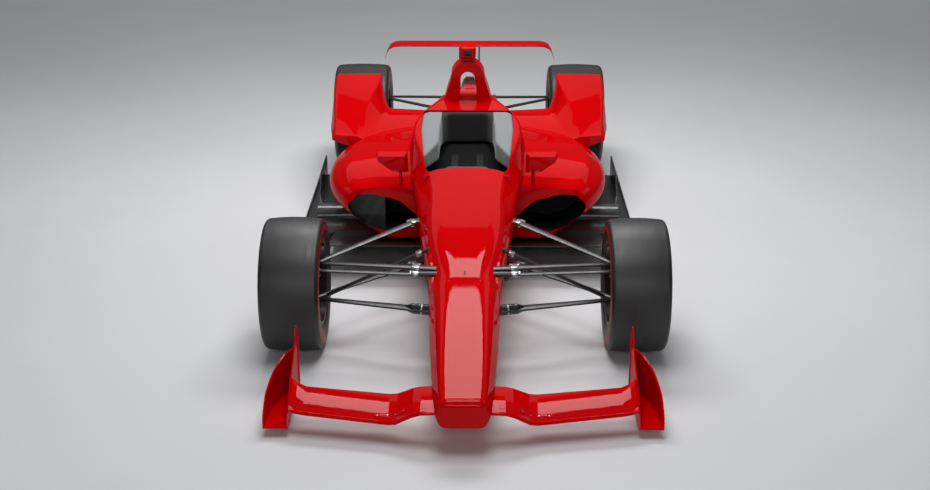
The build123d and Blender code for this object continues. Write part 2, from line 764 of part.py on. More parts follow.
# ------------------------------------------------------------------ exhausts
with BuildPart() as exhaust:
    add(round_bar(point(70, 2560, 470), point(95.1, 2810, 556), exhaust_radius))
    add(round_bar(point(70, 2540, 463), point(97, 2830, 563), exhaust_radius - 4), mode=Mode.SUBTRACT)
    add(gearbox_envelope.part, mode=Mode.SUBTRACT)
exhaust_piece = Part() + exhaust.solids().sort_by(SortBy.VOLUME)[-1]
save(pair(exhaust_piece), "exhausts")

# ------------------------------------------------------------------ turning vanes and inlet lips
vane_thickness = 6.0


with BuildPart() as vane:
    add(curved_plate((815, 1100, 1530), (212, 143, floor_top + seat_gap), 240, 790, vane_thickness))
    add(prism(Plane.YZ.offset(786), [(at(805), 160), (at(820), 222), (at(1100), 176), (at(1520), 47), (at(1100), 70)],
              [10, 8, 60, 4, 60], vane_thickness))
    add(prism(Plane.YZ.offset(520), [(at(840), 204), (at(1120), 136), (at(1510), floor_top + 3), (at(1380), floor_top + 3),
              (at(1050), floor_top + 1)], [4, 60, 0, 0, 60], vane_thickness))
    add(tub_envelope, mode=Mode.SUBTRACT)
    add(pod_envelope, mode=Mode.SUBTRACT)
vane_piece = Part() + vane.solids().sort_by(SortBy.VOLUME)[-1]
save(pair(vane_piece), "turning_vanes")

# ------------------------------------------------------------------ wheels
tyre_gap = 0.4
bead_radius = rim_radius + tyre_gap
flange_radius = rim_radius + 13.0
barrel_wall = 7.0
tread_crown = 7.0


def wheel_axis(y, z):
    """The axle line as a sketch plane: first axis outboard, second axis radial."""
    return Plane(origin=(0, y, z), x_dir=(1, 0, 0), z_dir=(0, -1, 0))


def turned(plane, points, radii):
    """A profile turned round the axle."""
    with BuildPart() as piece:
        revolve(outline(plane, points, radii), axis=Axis(plane.origin, (1, 0, 0)), revolution_arc=360)
    return piece.part


def tyre(y, radius, centre, width, rim_width, shoulder):
    """A slick tyre with a crowned tread, rounded shoulders and bulging sidewalls."""
    half, bead, tread = width / 2, rim_width / 2 - 3 - tyre_gap, width / 2 - shoulder
    edge = radius - tread_crown
    with BuildPart() as piece:
        with BuildSketch(wheel_axis(y, radius)):
            with BuildLine():
                ThreePointArc((centre - tread, edge), (centre, radius), (centre + tread, edge))
                for side in (1, -1):
                    bend = ThreePointArc(
                        (centre + side * tread, edge),
                        (centre + side * (tread + shoulder * 0.72), edge - shoulder * 0.42),
                        (centre + side * (half - 2), edge - shoulder * 1.3),
                    )
                    wall = ThreePointArc(bend @ 1, (centre + side * half, radius - 82), (centre + side * bead, flange_radius + 1))
                    Line(wall @ 1, (centre + side * bead, bead_radius))
                Line((centre + bead, bead_radius), (centre - bead, bead_radius))
            make_face()
        revolve(axis=Axis((0, y, radius), (1, 0, 0)), revolution_arc=360)
    return piece.part


def rim(y, z, centre, rim_width, face_x, boss_low, windows, window_low, window_high):
    """A wheel rim: the barrel with its flanges, a spoked face and the centre boss."""
    plane = wheel_axis(y, z)
    half = rim_width / 2
    inner, outer = centre - half, centre + half
    barrel = rim_radius - barrel_wall - 8
    profile = [
        (inner - 4, barrel + 10), (inner - 4, flange_radius), (inner + 3, flange_radius), (inner + 3, rim_radius),
        (outer - 3, rim_radius), (outer - 3, flange_radius), (outer + 4, flange_radius), (outer + 4, barrel + 10),
        (face_x + 26, barrel), (inner + 20, barrel),
    ]
    hub_face = [
        (boss_low, 0), (boss_low, 58), (face_x - 6, 64), (face_x, barrel + 4), (face_x + 16, barrel + 4),
        (face_x + 16, 60), (face_x + 34, 34), (face_x + 34, 0),
    ]
    with BuildPart() as piece:
        add(turned(plane, profile, [3, 3, 2, 0, 0, 2, 3, 3, 0, 0]))
        add(turned(plane, hub_face, [0, 4, 20, 0, 0, 10, 6, 0]))
        window = [
            (y + window_low, z - 9), (y + window_high, z - window_high * 0.2), (y + window_high + 8, z),
            (y + window_high, z + window_high * 0.2), (y + window_low, z + 9),
        ]
        cut = prism(Plane.YZ.offset(face_x - 40), window, [7, 14, 60, 14, 7], 90)
        for turn in range(windows):
            add(cut.rotate(Axis((0, y, z), (1, 0, 0)), 360 * turn / windows), mode=Mode.SUBTRACT)
    return piece.part


front_centre = front_half_width - front_tyre_width / 2
rear_centre = rear_half_width - rear_tyre_width / 2
front_rim_width, rear_rim_width = 254.0, 340.0
spindle_radius = 30.0
front_face_x, rear_face_x = 886.0, 824.0
disc_radius, disc_thickness = 150.0, 28.0
front_disc_x, rear_disc_x = 819.0, 690.0
front_boss_low, rear_boss_low = 862.0, 774.0

front_tyre = tyre(front_axle_y, front_tyre_radius, front_centre, front_tyre_width, front_rim_width, 20)
rear_tyre = tyre(rear_axle_y, rear_tyre_radius, rear_centre, rear_tyre_width, rear_rim_width, 28)
front_rim = rim(front_axle_y, front_tyre_radius, front_centre, front_rim_width, front_face_x, front_boss_low, 10, 78, 150)
rear_rim = rim(rear_axle_y, rear_tyre_radius, rear_centre, rear_rim_width, rear_face_x, rear_boss_low, 10, 78, 150)

# front brake disc with its hub, bored for the spindle
bore = spindle_radius + running_gap
disc_low, disc_high = front_disc_x - disc_thickness / 2, front_disc_x + disc_thickness / 2
hub_profile = [
    (disc_low - 8, bore), (disc_low - 8, 48), (disc_low, 60), (disc_low, disc_radius), (disc_high, disc_radius),
    (disc_high, 60), (front_boss_low - seat_gap, 50), (front_boss_low - seat_gap, bore),
]
front_disc = turned(wheel_axis(front_axle_y, front_tyre_radius), hub_profile, [0, 2, 0, 1, 1, 0, 2, 0])

# rear hub, disc and driveshaft turn together
shaft_radius = 19.0
boot_radius = 44.0
upright_low, upright_high = 592.0, 644.0
rear_low, rear_high = rear_disc_x - disc_thickness / 2, rear_disc_x + disc_thickness / 2
axle_profile = [
    (output_x - 58, 0), (output_x - 58, output_radius), (output_x + 8, output_radius), (output_x + 12, boot_radius),
    (output_x + 44, boot_radius), (output_x + 84, shaft_radius), (upright_low - 84, shaft_radius),
    (upright_low - 44, boot_radius), (upright_low - 12, boot_radius), (upright_low - 8, spindle_radius),
    (rear_low - 12, spindle_radius), (rear_low - 8, 52), (rear_low, 60), (rear_low, disc_radius),
    (rear_high, disc_radius), (rear_high, 60), (rear_boss_low - seat_gap, 54), (rear_boss_low - seat_gap, 0),
]
rear_axle = turned(
    wheel_axis(rear_axle_y, rear_tyre_radius), axle_profile, [0, 2, 0, 4, 14, 14, 14, 14, 4, 0, 0, 2, 0, 1, 1, 0, 2, 0]
)

for side in sides:
    for name, piece in (
        ("tyre_front", front_tyre),
        ("rim_front", front_rim),
        ("brake_disc_front", front_disc),
        ("tyre_rear", rear_tyre),
        ("rim_rear", rear_rim),
        ("driveshaft", rear_axle),
    ):
        save(piece if side == "left" else mirrored(piece), f"{name}_{side}")

# ------------------------------------------------------------------ front suspension
lower_ball = point(748, 0, 250)
upper_ball = point(728, 0, 434)
kingpin = (upper_ball - lower_ball).normalized()
pin_radius = 9.0
eye_radius = 16.0
eye_half = 9.0
leg_chord, leg_thickness, rear_leg_thickness = 50.0, 22.0, 17.0
eye_thickness = 15.0
boss_radius = 26.0
shroud_chord = 66.0


def wishbone(ball, front_inner, rear_inner, axis, front_chord, thickness, envelope, hole, boss=None):
    """Two streamlined legs that meet in an eye, cut off at the body's skin, the front with a boss."""
    with BuildPart() as arm:
        for inner, chord in ((front_inner, front_chord), (rear_inner, leg_chord)):
            add(bar(ball, inner, 2 * eye_radius, eye_thickness, chord, thickness))
        add(round_bar(ball - axis * eye_half, ball + axis * eye_half, eye_radius))
        if hole:
            add(round_bar(ball - axis * 30, ball + axis * 30, hole), mode=Mode.SUBTRACT)
        if boss:
            run = front_inner - ball
            taper, full = [ball + run * ((ball.X - x) / (ball.X - front_inner.X)) for x in boss]
            add(round_bar(taper, full, thickness / 2, boss_radius))
            add(round_bar(full, front_inner, boss_radius))
        add(envelope, mode=Mode.SUBTRACT)
    return Part() + arm.solids().sort_by(SortBy.VOLUME)[-1]


hole = pin_radius + joint_gap
upper_front_inner, upper_rear_inner = point(120, -115, 452), point(150, 560, 500)
lower_front_inner, lower_rear_inner = point(100, -175, 256), point(130, 600, 245)
front_upper_arm = wishbone(
    upper_ball, upper_front_inner, upper_rear_inner, kingpin, leg_chord, leg_thickness, tub_envelope, hole
)
front_lower_arm = wishbone(
    lower_ball, lower_front_inner, lower_rear_inner, kingpin, shroud_chord, leg_thickness, tub_envelope, hole,
    boss=(288, 250),
)
front_arms = [front_upper_arm, front_lower_arm]
save(Compound(children=front_arms + [mirrored(arm) for arm in front_arms]), "front_wishbones")

front_pushrod_start = point(678, 6, 262)
with BuildPart() as front_pushrod:
    add(bar(front_pushrod_start, point(98, 70, 520), 30, 17))
    add(tub_envelope, mode=Mode.SUBTRACT)
    add(front_lower_arm, mode=Mode.SUBTRACT)
    add(front_lower_arm.moved(Location((0, 0, seat_gap))), mode=Mode.SUBTRACT)
save(pair(Part() + front_pushrod.solids().sort_by(SortBy.VOLUME)[-1]), "front_pushrods")

# knuckle: a plate with two pins on the kingpin line, the spindle, the steering arm and a caliper
steer_arm_station = -105.0
steer_arm_z = 425.0
knuckle_face_low, knuckle_face_high = 770.0, 791.0
axle_z = front_tyre_radius
caliper_radius = 165.0


def caliper(disc_x, z, y, angle):
    """A brake caliper that straddles the disc's edge."""
    low, high = disc_x - disc_thickness / 2 - 5, disc_x + disc_thickness / 2 + 5
    outer = [(low - 15, 96), (low - 15, caliper_radius), (high + 15, caliper_radius), (high + 15, 96)]
    with BuildPart() as piece:
        revolve(outline(wheel_axis(y, z), outer, [4, 12, 12, 4]), axis=Axis((0, y, z), (1, 0, 0)), revolution_arc=70)
        slot = [(low, 50), (low, disc_radius + 5), (high, disc_radius + 5), (high, 50)]
        revolve(outline(wheel_axis(y, z), slot, [0] * 4), axis=Axis((0, y, z), (1, 0, 0)), revolution_arc=360,
                mode=Mode.SUBTRACT)
    return piece.part.rotate(Axis((0, y, z), (1, 0, 0)), angle)


with BuildPart() as knuckle:
    plate = [(at(-30), 226), (at(30), 226), (at(52), 300), (at(46), 380), (at(24), 462), (at(-24), 462), (at(-46), 380),
             (at(-52), 300)]
    add(prism(Plane.YZ.offset(knuckle_face_low), plate, [12, 12, 20, 20, 12, 12, 20, 20],
              knuckle_face_high - knuckle_face_low))
    add(round_bar(Vector(knuckle_face_low, front_axle_y, axle_z), Vector(front_boss_low - 6, front_axle_y, axle_z),
                  spindle_radius))
    for ball, away in ((upper_ball, -1), (lower_ball, 1)):
        clear = ball + kingpin * (away * (eye_half + 1.5))
        end = ball + kingpin * (away * (eye_half + 15))
        add(round_bar(clear, end, 16))
        middle = (clear + end) / 2
        add(block(middle.X, knuckle_face_low + 4, -16, 16, middle.Z - 5, middle.Z + 5))
        add(round_bar(end, ball - kingpin * (away * (eye_half + 3)), pin_radius))
    add(prism(Plane.XY.offset(steer_arm_z - 16),
              [(knuckle_face_low + 6, at(-46)), (knuckle_face_low + 6, at(-10)), (knuckle_face_high - 2, at(-10)),
               (knuckle_face_high - 2, at(-52)), (712, at(steer_arm_station - 14)), (690, at(steer_arm_station - 12)),
               (690, at(steer_arm_station + 12))],
              [10, 0, 0, 20, 12, 8, 8], 12))
    add(caliper(front_disc_x, axle_z, front_axle_y, 145))
    add(block(knuckle_face_low, front_disc_x - disc_thickness / 2 - 8, 40, 108, axle_z - 24, axle_z + 24))
knuckle_piece = Part() + knuckle.solids().sort_by(SortBy.VOLUME)[-1]
save(knuckle_piece, "knuckle_left")
save(mirrored(knuckle_piece), "knuckle_right")

# steering rack: a round bar across the cell with a track rod at each end
with BuildPart() as rack:
    add(round_bar(point(-262, rack_inner_station, rack_z), point(262, rack_inner_station, rack_z), rack_radius))
    for side in sides.values():
        inner = point(side * 240, rack_inner_station, rack_z)
        outer = point(side * 686, steer_arm_station, steer_arm_z + 12)
        add(bar(inner, outer + (outer - inner).normalized() * 6, 34, 13))
        add(round_bar(outer + Vector(side * 16, 0, -6), outer + Vector(side * 16, 0, 7), 15))
        add(round_bar(outer + Vector(side * 16, 0, -20), outer + Vector(side * 16, 0, 20), 7.4), mode=Mode.SUBTRACT)
save(rack.part, "steering_rack")

# ------------------------------------------------------------------ rear suspension
rear_kingpin = Vector(0, 0, 1)
rear_upper = point(618, wheelbase, 482)
rear_lower = point(618, wheelbase, 214)
chassis_rear = gearbox_envelope.part
rear_upper_inner = point(90, 2850, 425), point(90, 3260, 425)
rear_lower_inner = point(90, 2760, 168), point(90, 3230, 168)
rear_shroud_chord = 60.0
rear_arms = [
    wishbone(rear_upper, *rear_upper_inner, rear_kingpin, leg_chord, rear_leg_thickness, chassis_rear, 0),
    wishbone(rear_lower, *rear_lower_inner, rear_kingpin, rear_shroud_chord, rear_leg_thickness, chassis_rear, 0),
]
save(Compound(children=rear_arms + [mirrored(arm) for arm in rear_arms]), "rear_wishbones")

with BuildPart() as rear_pushrod:
    add(bar(point(580, 3040, 224), point(60, 2900, 470), 30, 18))
    for arm in rear_arms:
        add(arm, mode=Mode.SUBTRACT)
        add(arm.moved(Location((0, 0, seat_gap))), mode=Mode.SUBTRACT)
    add(chassis_rear, mode=Mode.SUBTRACT)
    add(cover_envelope, mode=Mode.SUBTRACT)
save(pair(Part() + rear_pushrod.solids().sort_by(SortBy.VOLUME)[-1]), "rear_pushrods")

with BuildPart() as rear_upright:
    plate = [(at(3010), 190), (at(3090), 190), (at(3120), 300), (at(3120), 400), (at(3086), 504), (at(3014), 504),
             (at(2980), 400), (at(2980), 300)]
    add(prism(Plane.YZ.offset(upright_low), plate, [16] * 8, upright_high - upright_low))
    add(caliper(rear_disc_x, rear_tyre_radius, rear_axle_y, 145))
    add(block(upright_low + 10, rear_disc_x - disc_thickness / 2 - 8, 3150, 3160, 320, 384))
    add(round_bar(Vector(500, rear_axle_y, rear_tyre_radius), Vector(690, rear_axle_y, rear_tyre_radius),
                  spindle_radius + running_gap), mode=Mode.SUBTRACT)
    for arm in rear_arms:
        for shift in (-seat_gap, 0.0, seat_gap):
            add(arm.moved(Location((shift, 0, shift))), mode=Mode.SUBTRACT)
            add(arm.moved(Location((shift, 0, -shift))), mode=Mode.SUBTRACT)
rear_upright_piece = Part() + rear_upright.solids().sort_by(SortBy.VOLUME)[-1]
save(pair(rear_upright_piece), "rear_uprights")
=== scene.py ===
"""Looks of an open wheel racing car, in metres, +Z up, nose towards -Y."""
import math

import bmesh
import bpy
from mathutils import Euler, Matrix, Vector


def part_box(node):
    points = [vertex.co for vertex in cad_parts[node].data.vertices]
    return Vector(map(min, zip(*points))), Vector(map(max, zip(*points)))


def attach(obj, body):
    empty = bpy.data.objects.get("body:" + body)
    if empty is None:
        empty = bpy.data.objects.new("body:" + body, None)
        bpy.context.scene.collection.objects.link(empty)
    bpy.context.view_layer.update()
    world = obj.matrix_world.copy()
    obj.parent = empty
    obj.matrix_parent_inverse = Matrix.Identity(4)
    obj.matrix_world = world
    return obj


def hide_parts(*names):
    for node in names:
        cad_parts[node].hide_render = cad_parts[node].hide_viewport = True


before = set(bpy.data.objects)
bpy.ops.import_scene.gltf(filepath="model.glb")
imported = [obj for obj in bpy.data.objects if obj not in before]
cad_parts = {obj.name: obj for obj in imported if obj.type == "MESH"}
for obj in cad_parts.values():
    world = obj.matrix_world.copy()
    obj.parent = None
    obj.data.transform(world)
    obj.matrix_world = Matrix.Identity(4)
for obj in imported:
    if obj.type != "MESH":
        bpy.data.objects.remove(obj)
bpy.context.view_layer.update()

scene = bpy.context.scene
scene.view_settings.view_transform = "Standard"

# ---------------------------------------------------------------- camera
# A long lens well above head height, straight ahead of the nose and tipped down at the car.
camera_place = Vector((0.0554, -7.5676, 2.8358))
camera_tip = math.radians(90 - 20.622)
camera_swing = 0.0092

camera_data = bpy.data.cameras.new("front_camera")
camera_data.sensor_width = 36.0
camera_data.lens = 52.554
camera = bpy.data.objects.new("front_camera", camera_data)
camera.location = camera_place
camera.rotation_euler = Euler((camera_tip, 0.0, camera_swing))
scene.collection.objects.link(camera)
scene.camera = camera


# ---------------------------------------------------------------- painted bodywork
# The nose, cell, side pods, engine cover and wings are thin composite shells in one deep red.
# Solid colour under a thick clear lacquer: glassy reflections with a trace of orange peel.
def linear(hex_colour):
    """An sRGB hex colour as linear red, green, blue and alpha."""
    parts = [int(hex_colour[i:i + 2], 16) / 255 for i in (1, 3, 5)]
    return tuple(p / 12.92 if p <= 0.04045 else ((p + 0.055) / 1.055) ** 2.4 for p in parts) + (1.0,)


def add_node(material, kind, settings=None, links=None, stops=()):
    """Adds a node: settings, inputs linked to (node, output), and a ramp's (position, colour) stops."""
    node = material.node_tree.nodes.new(kind)
    for name, value in (settings or {}).items():
        if isinstance(name, int) or name in node.inputs:
            node.inputs[name].default_value = value
        else:
            setattr(node, name, value)
    for name, (source, output) in (links or {}).items():
        material.node_tree.links.new(source.outputs[output], node.inputs[name])
    for number, (position, colour) in enumerate(stops):
        ramp = node.color_ramp.elements
        stop = ramp[number] if number < 2 else ramp.new(position)
        stop.position = position
        stop.color = linear(colour) if isinstance(colour, str) else (colour,) * 3 + (1.0,)
    return node


def shader_of(material):
    """A material's shader node."""
    return material.node_tree.nodes["Principled BSDF"]


def new_material(name, colour, **sockets):
    """A material whose shader has its plain values set."""
    material = bpy.data.materials.new(name)
    material.use_nodes = True
    inputs = shader_of(material).inputs
    inputs["Base Color"].default_value = linear(colour)
    for socket, value in sockets.items():
        inputs[socket.replace("_", " ").title().replace("Ior", "IOR")].default_value = value
    return material


def connect(material, source, output, socket):
    """Links a node's output to one of the shader's sockets."""
    material.node_tree.links.new(source.outputs[output], shader_of(material).inputs[socket])


def texture(material, kind, within=None, **settings):
    """A texture in the piece's own coordinates, in metres, or in a mapping node's."""
    source = (within, "Vector") if within else (add_node(material, "ShaderNodeTexCoord"), "Object")
    return add_node(material, f"ShaderNodeTex{kind}", settings, {"Vector": source})


def mapping(material, **settings):
    """The piece's own coordinates, moved, turned and scaled."""
    place = add_node(material, "ShaderNodeTexCoord")
    return add_node(material, "ShaderNodeMapping", settings, {"Vector": (place, "Object")})


def vary(material, socket, source, *stops, output="Fac"):
    """Drives a socket of the shader by a node's output through a ramp."""
    ramp = add_node(material, "ShaderNodeValToRGB", links={"Fac": (source, output)}, stops=stops)
    connect(material, ramp, "Color", socket)


def emboss(material, source, strength, depth, output="Fac", socket="Normal"):
    """Gives the surface a relief of a node's output, its depth in metres."""
    relief = add_node(material, "ShaderNodeBump", {"Strength": strength, "Distance": depth},
                      {"Height": (source, output)})
    connect(material, relief, "Normal", socket)


def dress(material, *nodes):
    """Gives CAD nodes a material."""
    for node in nodes:
        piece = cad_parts[node]
        piece.data.materials.clear()
        piece.data.materials.append(material)


red_lacquer = new_material("red_lacquer", "#C60005", roughness=0.5, specular_ior_level=0.0, coat_weight=0.32,
                           coat_ior=1.42, coat_roughness=0.03)
drift = texture(red_lacquer, "Noise", Scale=1.7, Detail=2.0)
vary(red_lacquer, "Base Color", drift, (0.3, "#C00004"), (0.7, "#CA0006"))
# orange peel: waves about 5 mm long, hardly any height
peel = texture(red_lacquer, "Noise", Scale=210.0, Detail=1.0)
emboss(red_lacquer, peel, 0.05, 0.0004, socket="Coat Normal")
dress(red_lacquer, "nose_cone", "roll_hoop", "camera_pod", "mirrors", "engine_cover",
      "front_wing", "front_endplates", "rear_wheel_ramp_left", "rear_wheel_ramp_right", "rear_wing")

# ---------------------------------------------------------------- bare laminate
# Floor, vanes, pylons and crash structure are carbon cloth in epoxy, moulded glossy.
# Woven, its tows drawn 10 mm wide, coarser than real, so that they show.
tow = 0.010
carbon = new_material("carbon_twill", "#131416", roughness=0.38, coat_weight=0.5, coat_roughness=0.1)
bias = mapping(carbon, Rotation=(0.5, 0.3, math.radians(45)), Scale=(1 / tow,) * 3)
cloth = texture(carbon, "Checker", bias, Scale=1.0, Color1=linear("#0D0E0F"), Color2=linear("#1F2124"))
connect(carbon, cloth, "Color", "Base Color")
vary(carbon, "Roughness", cloth, (0.0, 0.30), (1.0, 0.48))
dress(carbon, "floor", "turning_vanes", "wing_pylons", "rear_attenuator", "steering_wheel",
      "intake_blank_right")

# ---------------------------------------------------------------- survival cell and ducts
# Lacquered outside; inside the cell the shells show their bare dark laminate, and inside the cooling ducts
# the same near black is painted shade.
# A face is an inner one if it looks back at the hollow's middle; its length counts only in part.
inner_lean = -0.02  # how far a face may look back at the middle, in metres, and still be an outer one


def two_tone(name, middle, length_share):
    """Red lacquer on the faces that look away from a middle, near black on the others: bare laminate in the
    cell, painted shade in the ducts.
    """
    paint = red_lacquer.copy()
    paint.name = name
    lacquer_colour = shader_of(paint).inputs["Base Color"].links[0].from_node
    away = mapping(paint, Location=(-middle.x, -middle.y * length_share, -middle.z),
                   Scale=(1.0, length_share, 1.0))
    faces = add_node(paint, "ShaderNodeNewGeometry")
    outwards = add_node(paint, "ShaderNodeVectorMath", {"operation": "DOT_PRODUCT"},
                        {0: (away, "Vector"), 1: (faces, "Normal")})
    side = add_node(paint, "ShaderNodeMath", {"operation": "GREATER_THAN", 1: inner_lean},
                    {0: (outwards, "Value")})
    # the near black is bare laminate in the cell and painted shade in the ducts
    colour = add_node(paint, "ShaderNodeMixRGB", {"Color1": linear("#17181A")},
                      {"Fac": (side, "Value"), "Color2": (lacquer_colour, "Color")})
    connect(paint, colour, "Color", "Base Color")
    return paint


cell_middle, cell_length_share = Vector((0.0, -0.5, 0.42)), 0.2
duct_length_share = 0.0
duct_x, duct_z = 0.45, 0.325
dress(two_tone("red_lacquer_over_laminate", cell_middle, cell_length_share), "monocoque")
for side, way in (("left", 1), ("right", -1)):
    # inside each side pod's duct the near black is painted shade
    duct_middle = Vector((way * duct_x, 0.0, duct_z))
    dress(two_tone(f"red_lacquer_painted_duct_shade_{side}", duct_middle, duct_length_share), f"sidepod_{side}")


def finish(name, shape, material, body="chassis", sharp=35.0):
    """Makes a bmesh a smooth shaded piece that rides on a body."""
    bmesh.ops.recalc_face_normals(shape, faces=shape.faces)
    mesh = bpy.data.meshes.new(name)
    shape.to_mesh(mesh)
    shape.free()
    mesh.shade_smooth()
    mesh.set_sharp_from_angle(angle=math.radians(sharp))
    mesh.materials.append(material)
    piece = bpy.data.objects.new(name, mesh)
    scene.collection.objects.link(piece)
    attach(piece, body)
    return piece


weld_distance = 0.00002


def merged_copy(node):
    """A CAD node's surface as one bmesh with its loose triangles joined."""
    shape = bmesh.new()
    shape.from_mesh(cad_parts[node].data)
    bmesh.ops.remove_doubles(shape, verts=shape.verts, dist=weld_distance)
    return shape


front_low, front_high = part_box("tyre_front_left")
front_axle_y = (front_low.y + front_high.y) / 2
rear_low, rear_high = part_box("tyre_rear_left")
rear_axle_y = (rear_low.y + rear_high.y) / 2


def spot(x, behind, z):
    """A point given by its distance behind the front axle."""
    return Vector((x, front_axle_y + behind, z))


# Joints between the shells are filled flush with dark red sealant and show as fine lines.
# The same dark red is also painted shade in the fastener slots, the nose's sockets and the wing's groove
# lines.
sealant_and_painted_shade = new_material("joint_seal_and_painted_shade", "#7E0408", roughness=0.55, specular_ior_level=0.15)
grain = texture(sealant_and_painted_shade, "Noise", Scale=300.0)
vary(sealant_and_painted_shade, "Roughness", grain, (0.3, 0.45), (0.7, 0.7))
seam_width, seam_proud = 0.0018, 0.0003
seam_inset = 0.0005  # from the shell's front end
end_face = 0.9  # a face that looks this much along the car closes the shell's end


def seam(name, node, start):
    """A ring of sealant cut from the shell's own skin, from a plane backwards, a hair proud."""
    shape = merged_copy(node)
    for y, way in ((start, -1.0), (start + seam_width, 1.0)):
        everything = shape.verts[:] + shape.edges[:] + shape.faces[:]
        bmesh.ops.bisect_plane(shape, geom=everything, plane_co=(0.0, y, 0.0), plane_no=(0.0, way, 0.0),
                               clear_outer=True, dist=1e-6)
    flat = [face for face in shape.faces if abs(face.normal.y) > end_face]
    bmesh.ops.delete(shape, geom=flat, context="FACES")
    for vertex in shape.verts:
        vertex.co += Vector((vertex.normal.x, 0.0, vertex.normal.z)) * seam_proud
    return finish(name, shape, sealant_and_painted_shade)


seam("nose_joint", "monocoque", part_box("monocoque")[0].y + seam_inset)
seam("cover_joint", "engine_cover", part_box("engine_cover")[0].y + seam_inset)
tail_joint_behind = 2.62
seam("cover_tail_joint", "engine_cover", spot(0, tail_joint_behind, 0).y)

# ---------------------------------------------------------------- small fasteners
# Quarter turn fasteners hold the shells; screws, bolts and nuts are zinc plated steel.
# Turned from bar, so the plated ones are bright with fine turning marks.
plated_steel = new_material("plated_steel", "#B9BBBE", metallic=1.0, roughness=0.28)
marks = texture(plated_steel, "Noise", Scale=500.0, Detail=3.0)
vary(plated_steel, "Roughness", marks, (0.35, 0.2), (0.7, 0.45))


def along(axis, centre):
    """The place of a shape whose own Z lies on an axis through a centre."""
    return Matrix.Translation(centre) @ Vector(axis).to_track_quat("Z", "Y").to_matrix().to_4x4()


def round_edges(shape, edges, rounding):
    """Softens edges with a bevel of two steps."""
    bmesh.ops.bevel(shape, geom=list(edges), offset=rounding, segments=2, profile=0.5, affect="EDGES",
                    material=-1)


rim_angle = 1.2  # edges sharper than this, in radians, are a drum's rims


def add_drum(shape, centre, axis, radius, length, end_radius=None, sides=24, rounding=0.0):
    """A round or many sided bar about an axis, centred, with softened rims."""
    made = bmesh.ops.create_cone(shape, cap_ends=True, segments=sides, radius1=radius,
                                 radius2=end_radius or radius, depth=length, matrix=along(axis, centre))
    if rounding:
        rims = {edge for vertex in made["verts"] for edge in vertex.link_edges
                if edge.calc_face_angle(0.0) > rim_angle}
        round_edges(shape, rims, rounding)


def add_slab(shape, centre, size, turn=None, rounding=0.0):
    """A box with rounded edges, turned by a matrix."""
    place = Matrix.Translation(centre) @ (turn or Matrix.Identity(4)) @ Matrix.Diagonal((*size, 1.0))
    made = bmesh.ops.create_cube(shape, size=1.0, matrix=place)
    if rounding:
        round_edges(shape, {edge for vertex in made["verts"] for edge in vertex.link_edges}, rounding)


def add_bolt(shape, centre, axis, across):
    """A washer and a hexagon head that stand on a face, in proportion to the head's width."""
    axis = Vector(axis).normalized()
    add_drum(shape, centre + axis * across * 0.05, axis, across * 0.68, across * 0.1, sides=20)
    add_drum(shape, centre + axis * across * 0.32, axis, across * 0.56, across * 0.44, sides=6,
             rounding=across * 0.05)


def drop_on(node, x, y, z_from=1.3):
    """The point and normal where a ray straight down meets a CAD node's skin."""
    hit, where, normal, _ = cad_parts[node].ray_cast(Vector((x, y, z_from)), Vector((0.0, 0.0, -1.0)))
    return (where, normal) if hit else (None, None)


# Quarter turn fasteners: flush discs along the edges of the removable panels, lacquered over.
turn_radius, turn_height, turn_lift = 0.0055, 0.002, 0.0003
# each slot is a dark red slab a hair proud: painted shade of the slot's recess
turn_slot, turn_slot_height = (turn_radius * 1.3, 0.0014, 0.0008), 0.0012
fastener_rows = (
    # node, half width, distances behind the front axle
    ("nose_cone", 0.075, (-0.275,)),
    ("engine_cover", 0.115, (1.90, 2.10)),
    ("engine_cover", 0.060, (2.58, 2.66)),
    ("sidepod_left", 0.47, (1.12, 1.45, 1.80, 2.10)),
    ("sidepod_right", -0.47, (1.12, 1.45, 1.80, 2.10)),
)
shape, turn_slot_shades = bmesh.new(), bmesh.new()
for node, half, stations in fastener_rows:
    for behind in stations:
        for x in ((half,) if node.startswith("sidepod") else (half, -half)):
            where, normal = drop_on(node, x, spot(0, behind, 0).y)
            if where is None:
                continue
            add_drum(shape, where + normal * turn_lift, normal, turn_radius, turn_height, sides=20,
                     rounding=0.0004)
            slot_turn = normal.to_track_quat("Z", "Y").to_matrix().to_4x4()
            add_slab(turn_slot_shades, where + normal * turn_slot_height, turn_slot, slot_turn)
finish("turn_fasteners", shape, red_lacquer)
# the slots' dark red is painted shade
finish("turn_fastener_slot_shades", turn_slot_shades, sealant_and_painted_shade)

# Two dark red discs on the flanks of the nose paint the shade in its two recessed jacking sockets, and a stub
# air speed probe stands on its top.
socket_x, socket_behind, probe_behind = 0.121, -0.372, -0.216
upwards = Vector((0.0, 0.0, 1.0))
shape = bmesh.new()
for x in (socket_x, -socket_x):
    where, normal = drop_on("nose_cone", x, spot(0, socket_behind, 0).y)
    add_drum(shape, where, normal, 0.0080, 0.0012, sides=28, rounding=0.0004)
# the discs' dark red is painted shade
finish("nose_dimple_shades", shape, sealant_and_painted_shade)
shape = bmesh.new()
probe_foot, _ = drop_on("monocoque", 0.0, spot(0, probe_behind, 0).y)
add_drum(shape, probe_foot + upwards * 0.003, upwards, 0.0065, 0.006, end_radius=0.0035, rounding=0.001)
add_drum(shape, probe_foot + upwards * 0.010, upwards, 0.0024, 0.010, sides=16)
finish("air_speed_probe", shape, plated_steel)

# ---------------------------------------------------------------- camera pod window
# A dark glass window on the front of the pod above the roll hoop, its edges rounded.
# Toughened glass over black, so it mirrors the lights and is otherwise black.
dark_glass = new_material("dark_glass", "#05070A", roughness=0.05, coat_weight=1.0, coat_roughness=0.02)
dust = texture(dark_glass, "Noise", Scale=140.0, Detail=4.0)
vary(dark_glass, "Roughness", dust, (0.45, 0.03), (0.8, 0.16))
pod_low, pod_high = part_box("camera_pod")
window_drop, window_proud = 0.034, 0.0002
window_place = Vector((0.0, pod_low.y - window_proud, pod_high.z - window_drop))
shape = bmesh.new()
add_slab(shape, window_place, (0.052, 0.004, 0.030), rounding=0.0018)
finish("camera_window", shape, dark_glass)

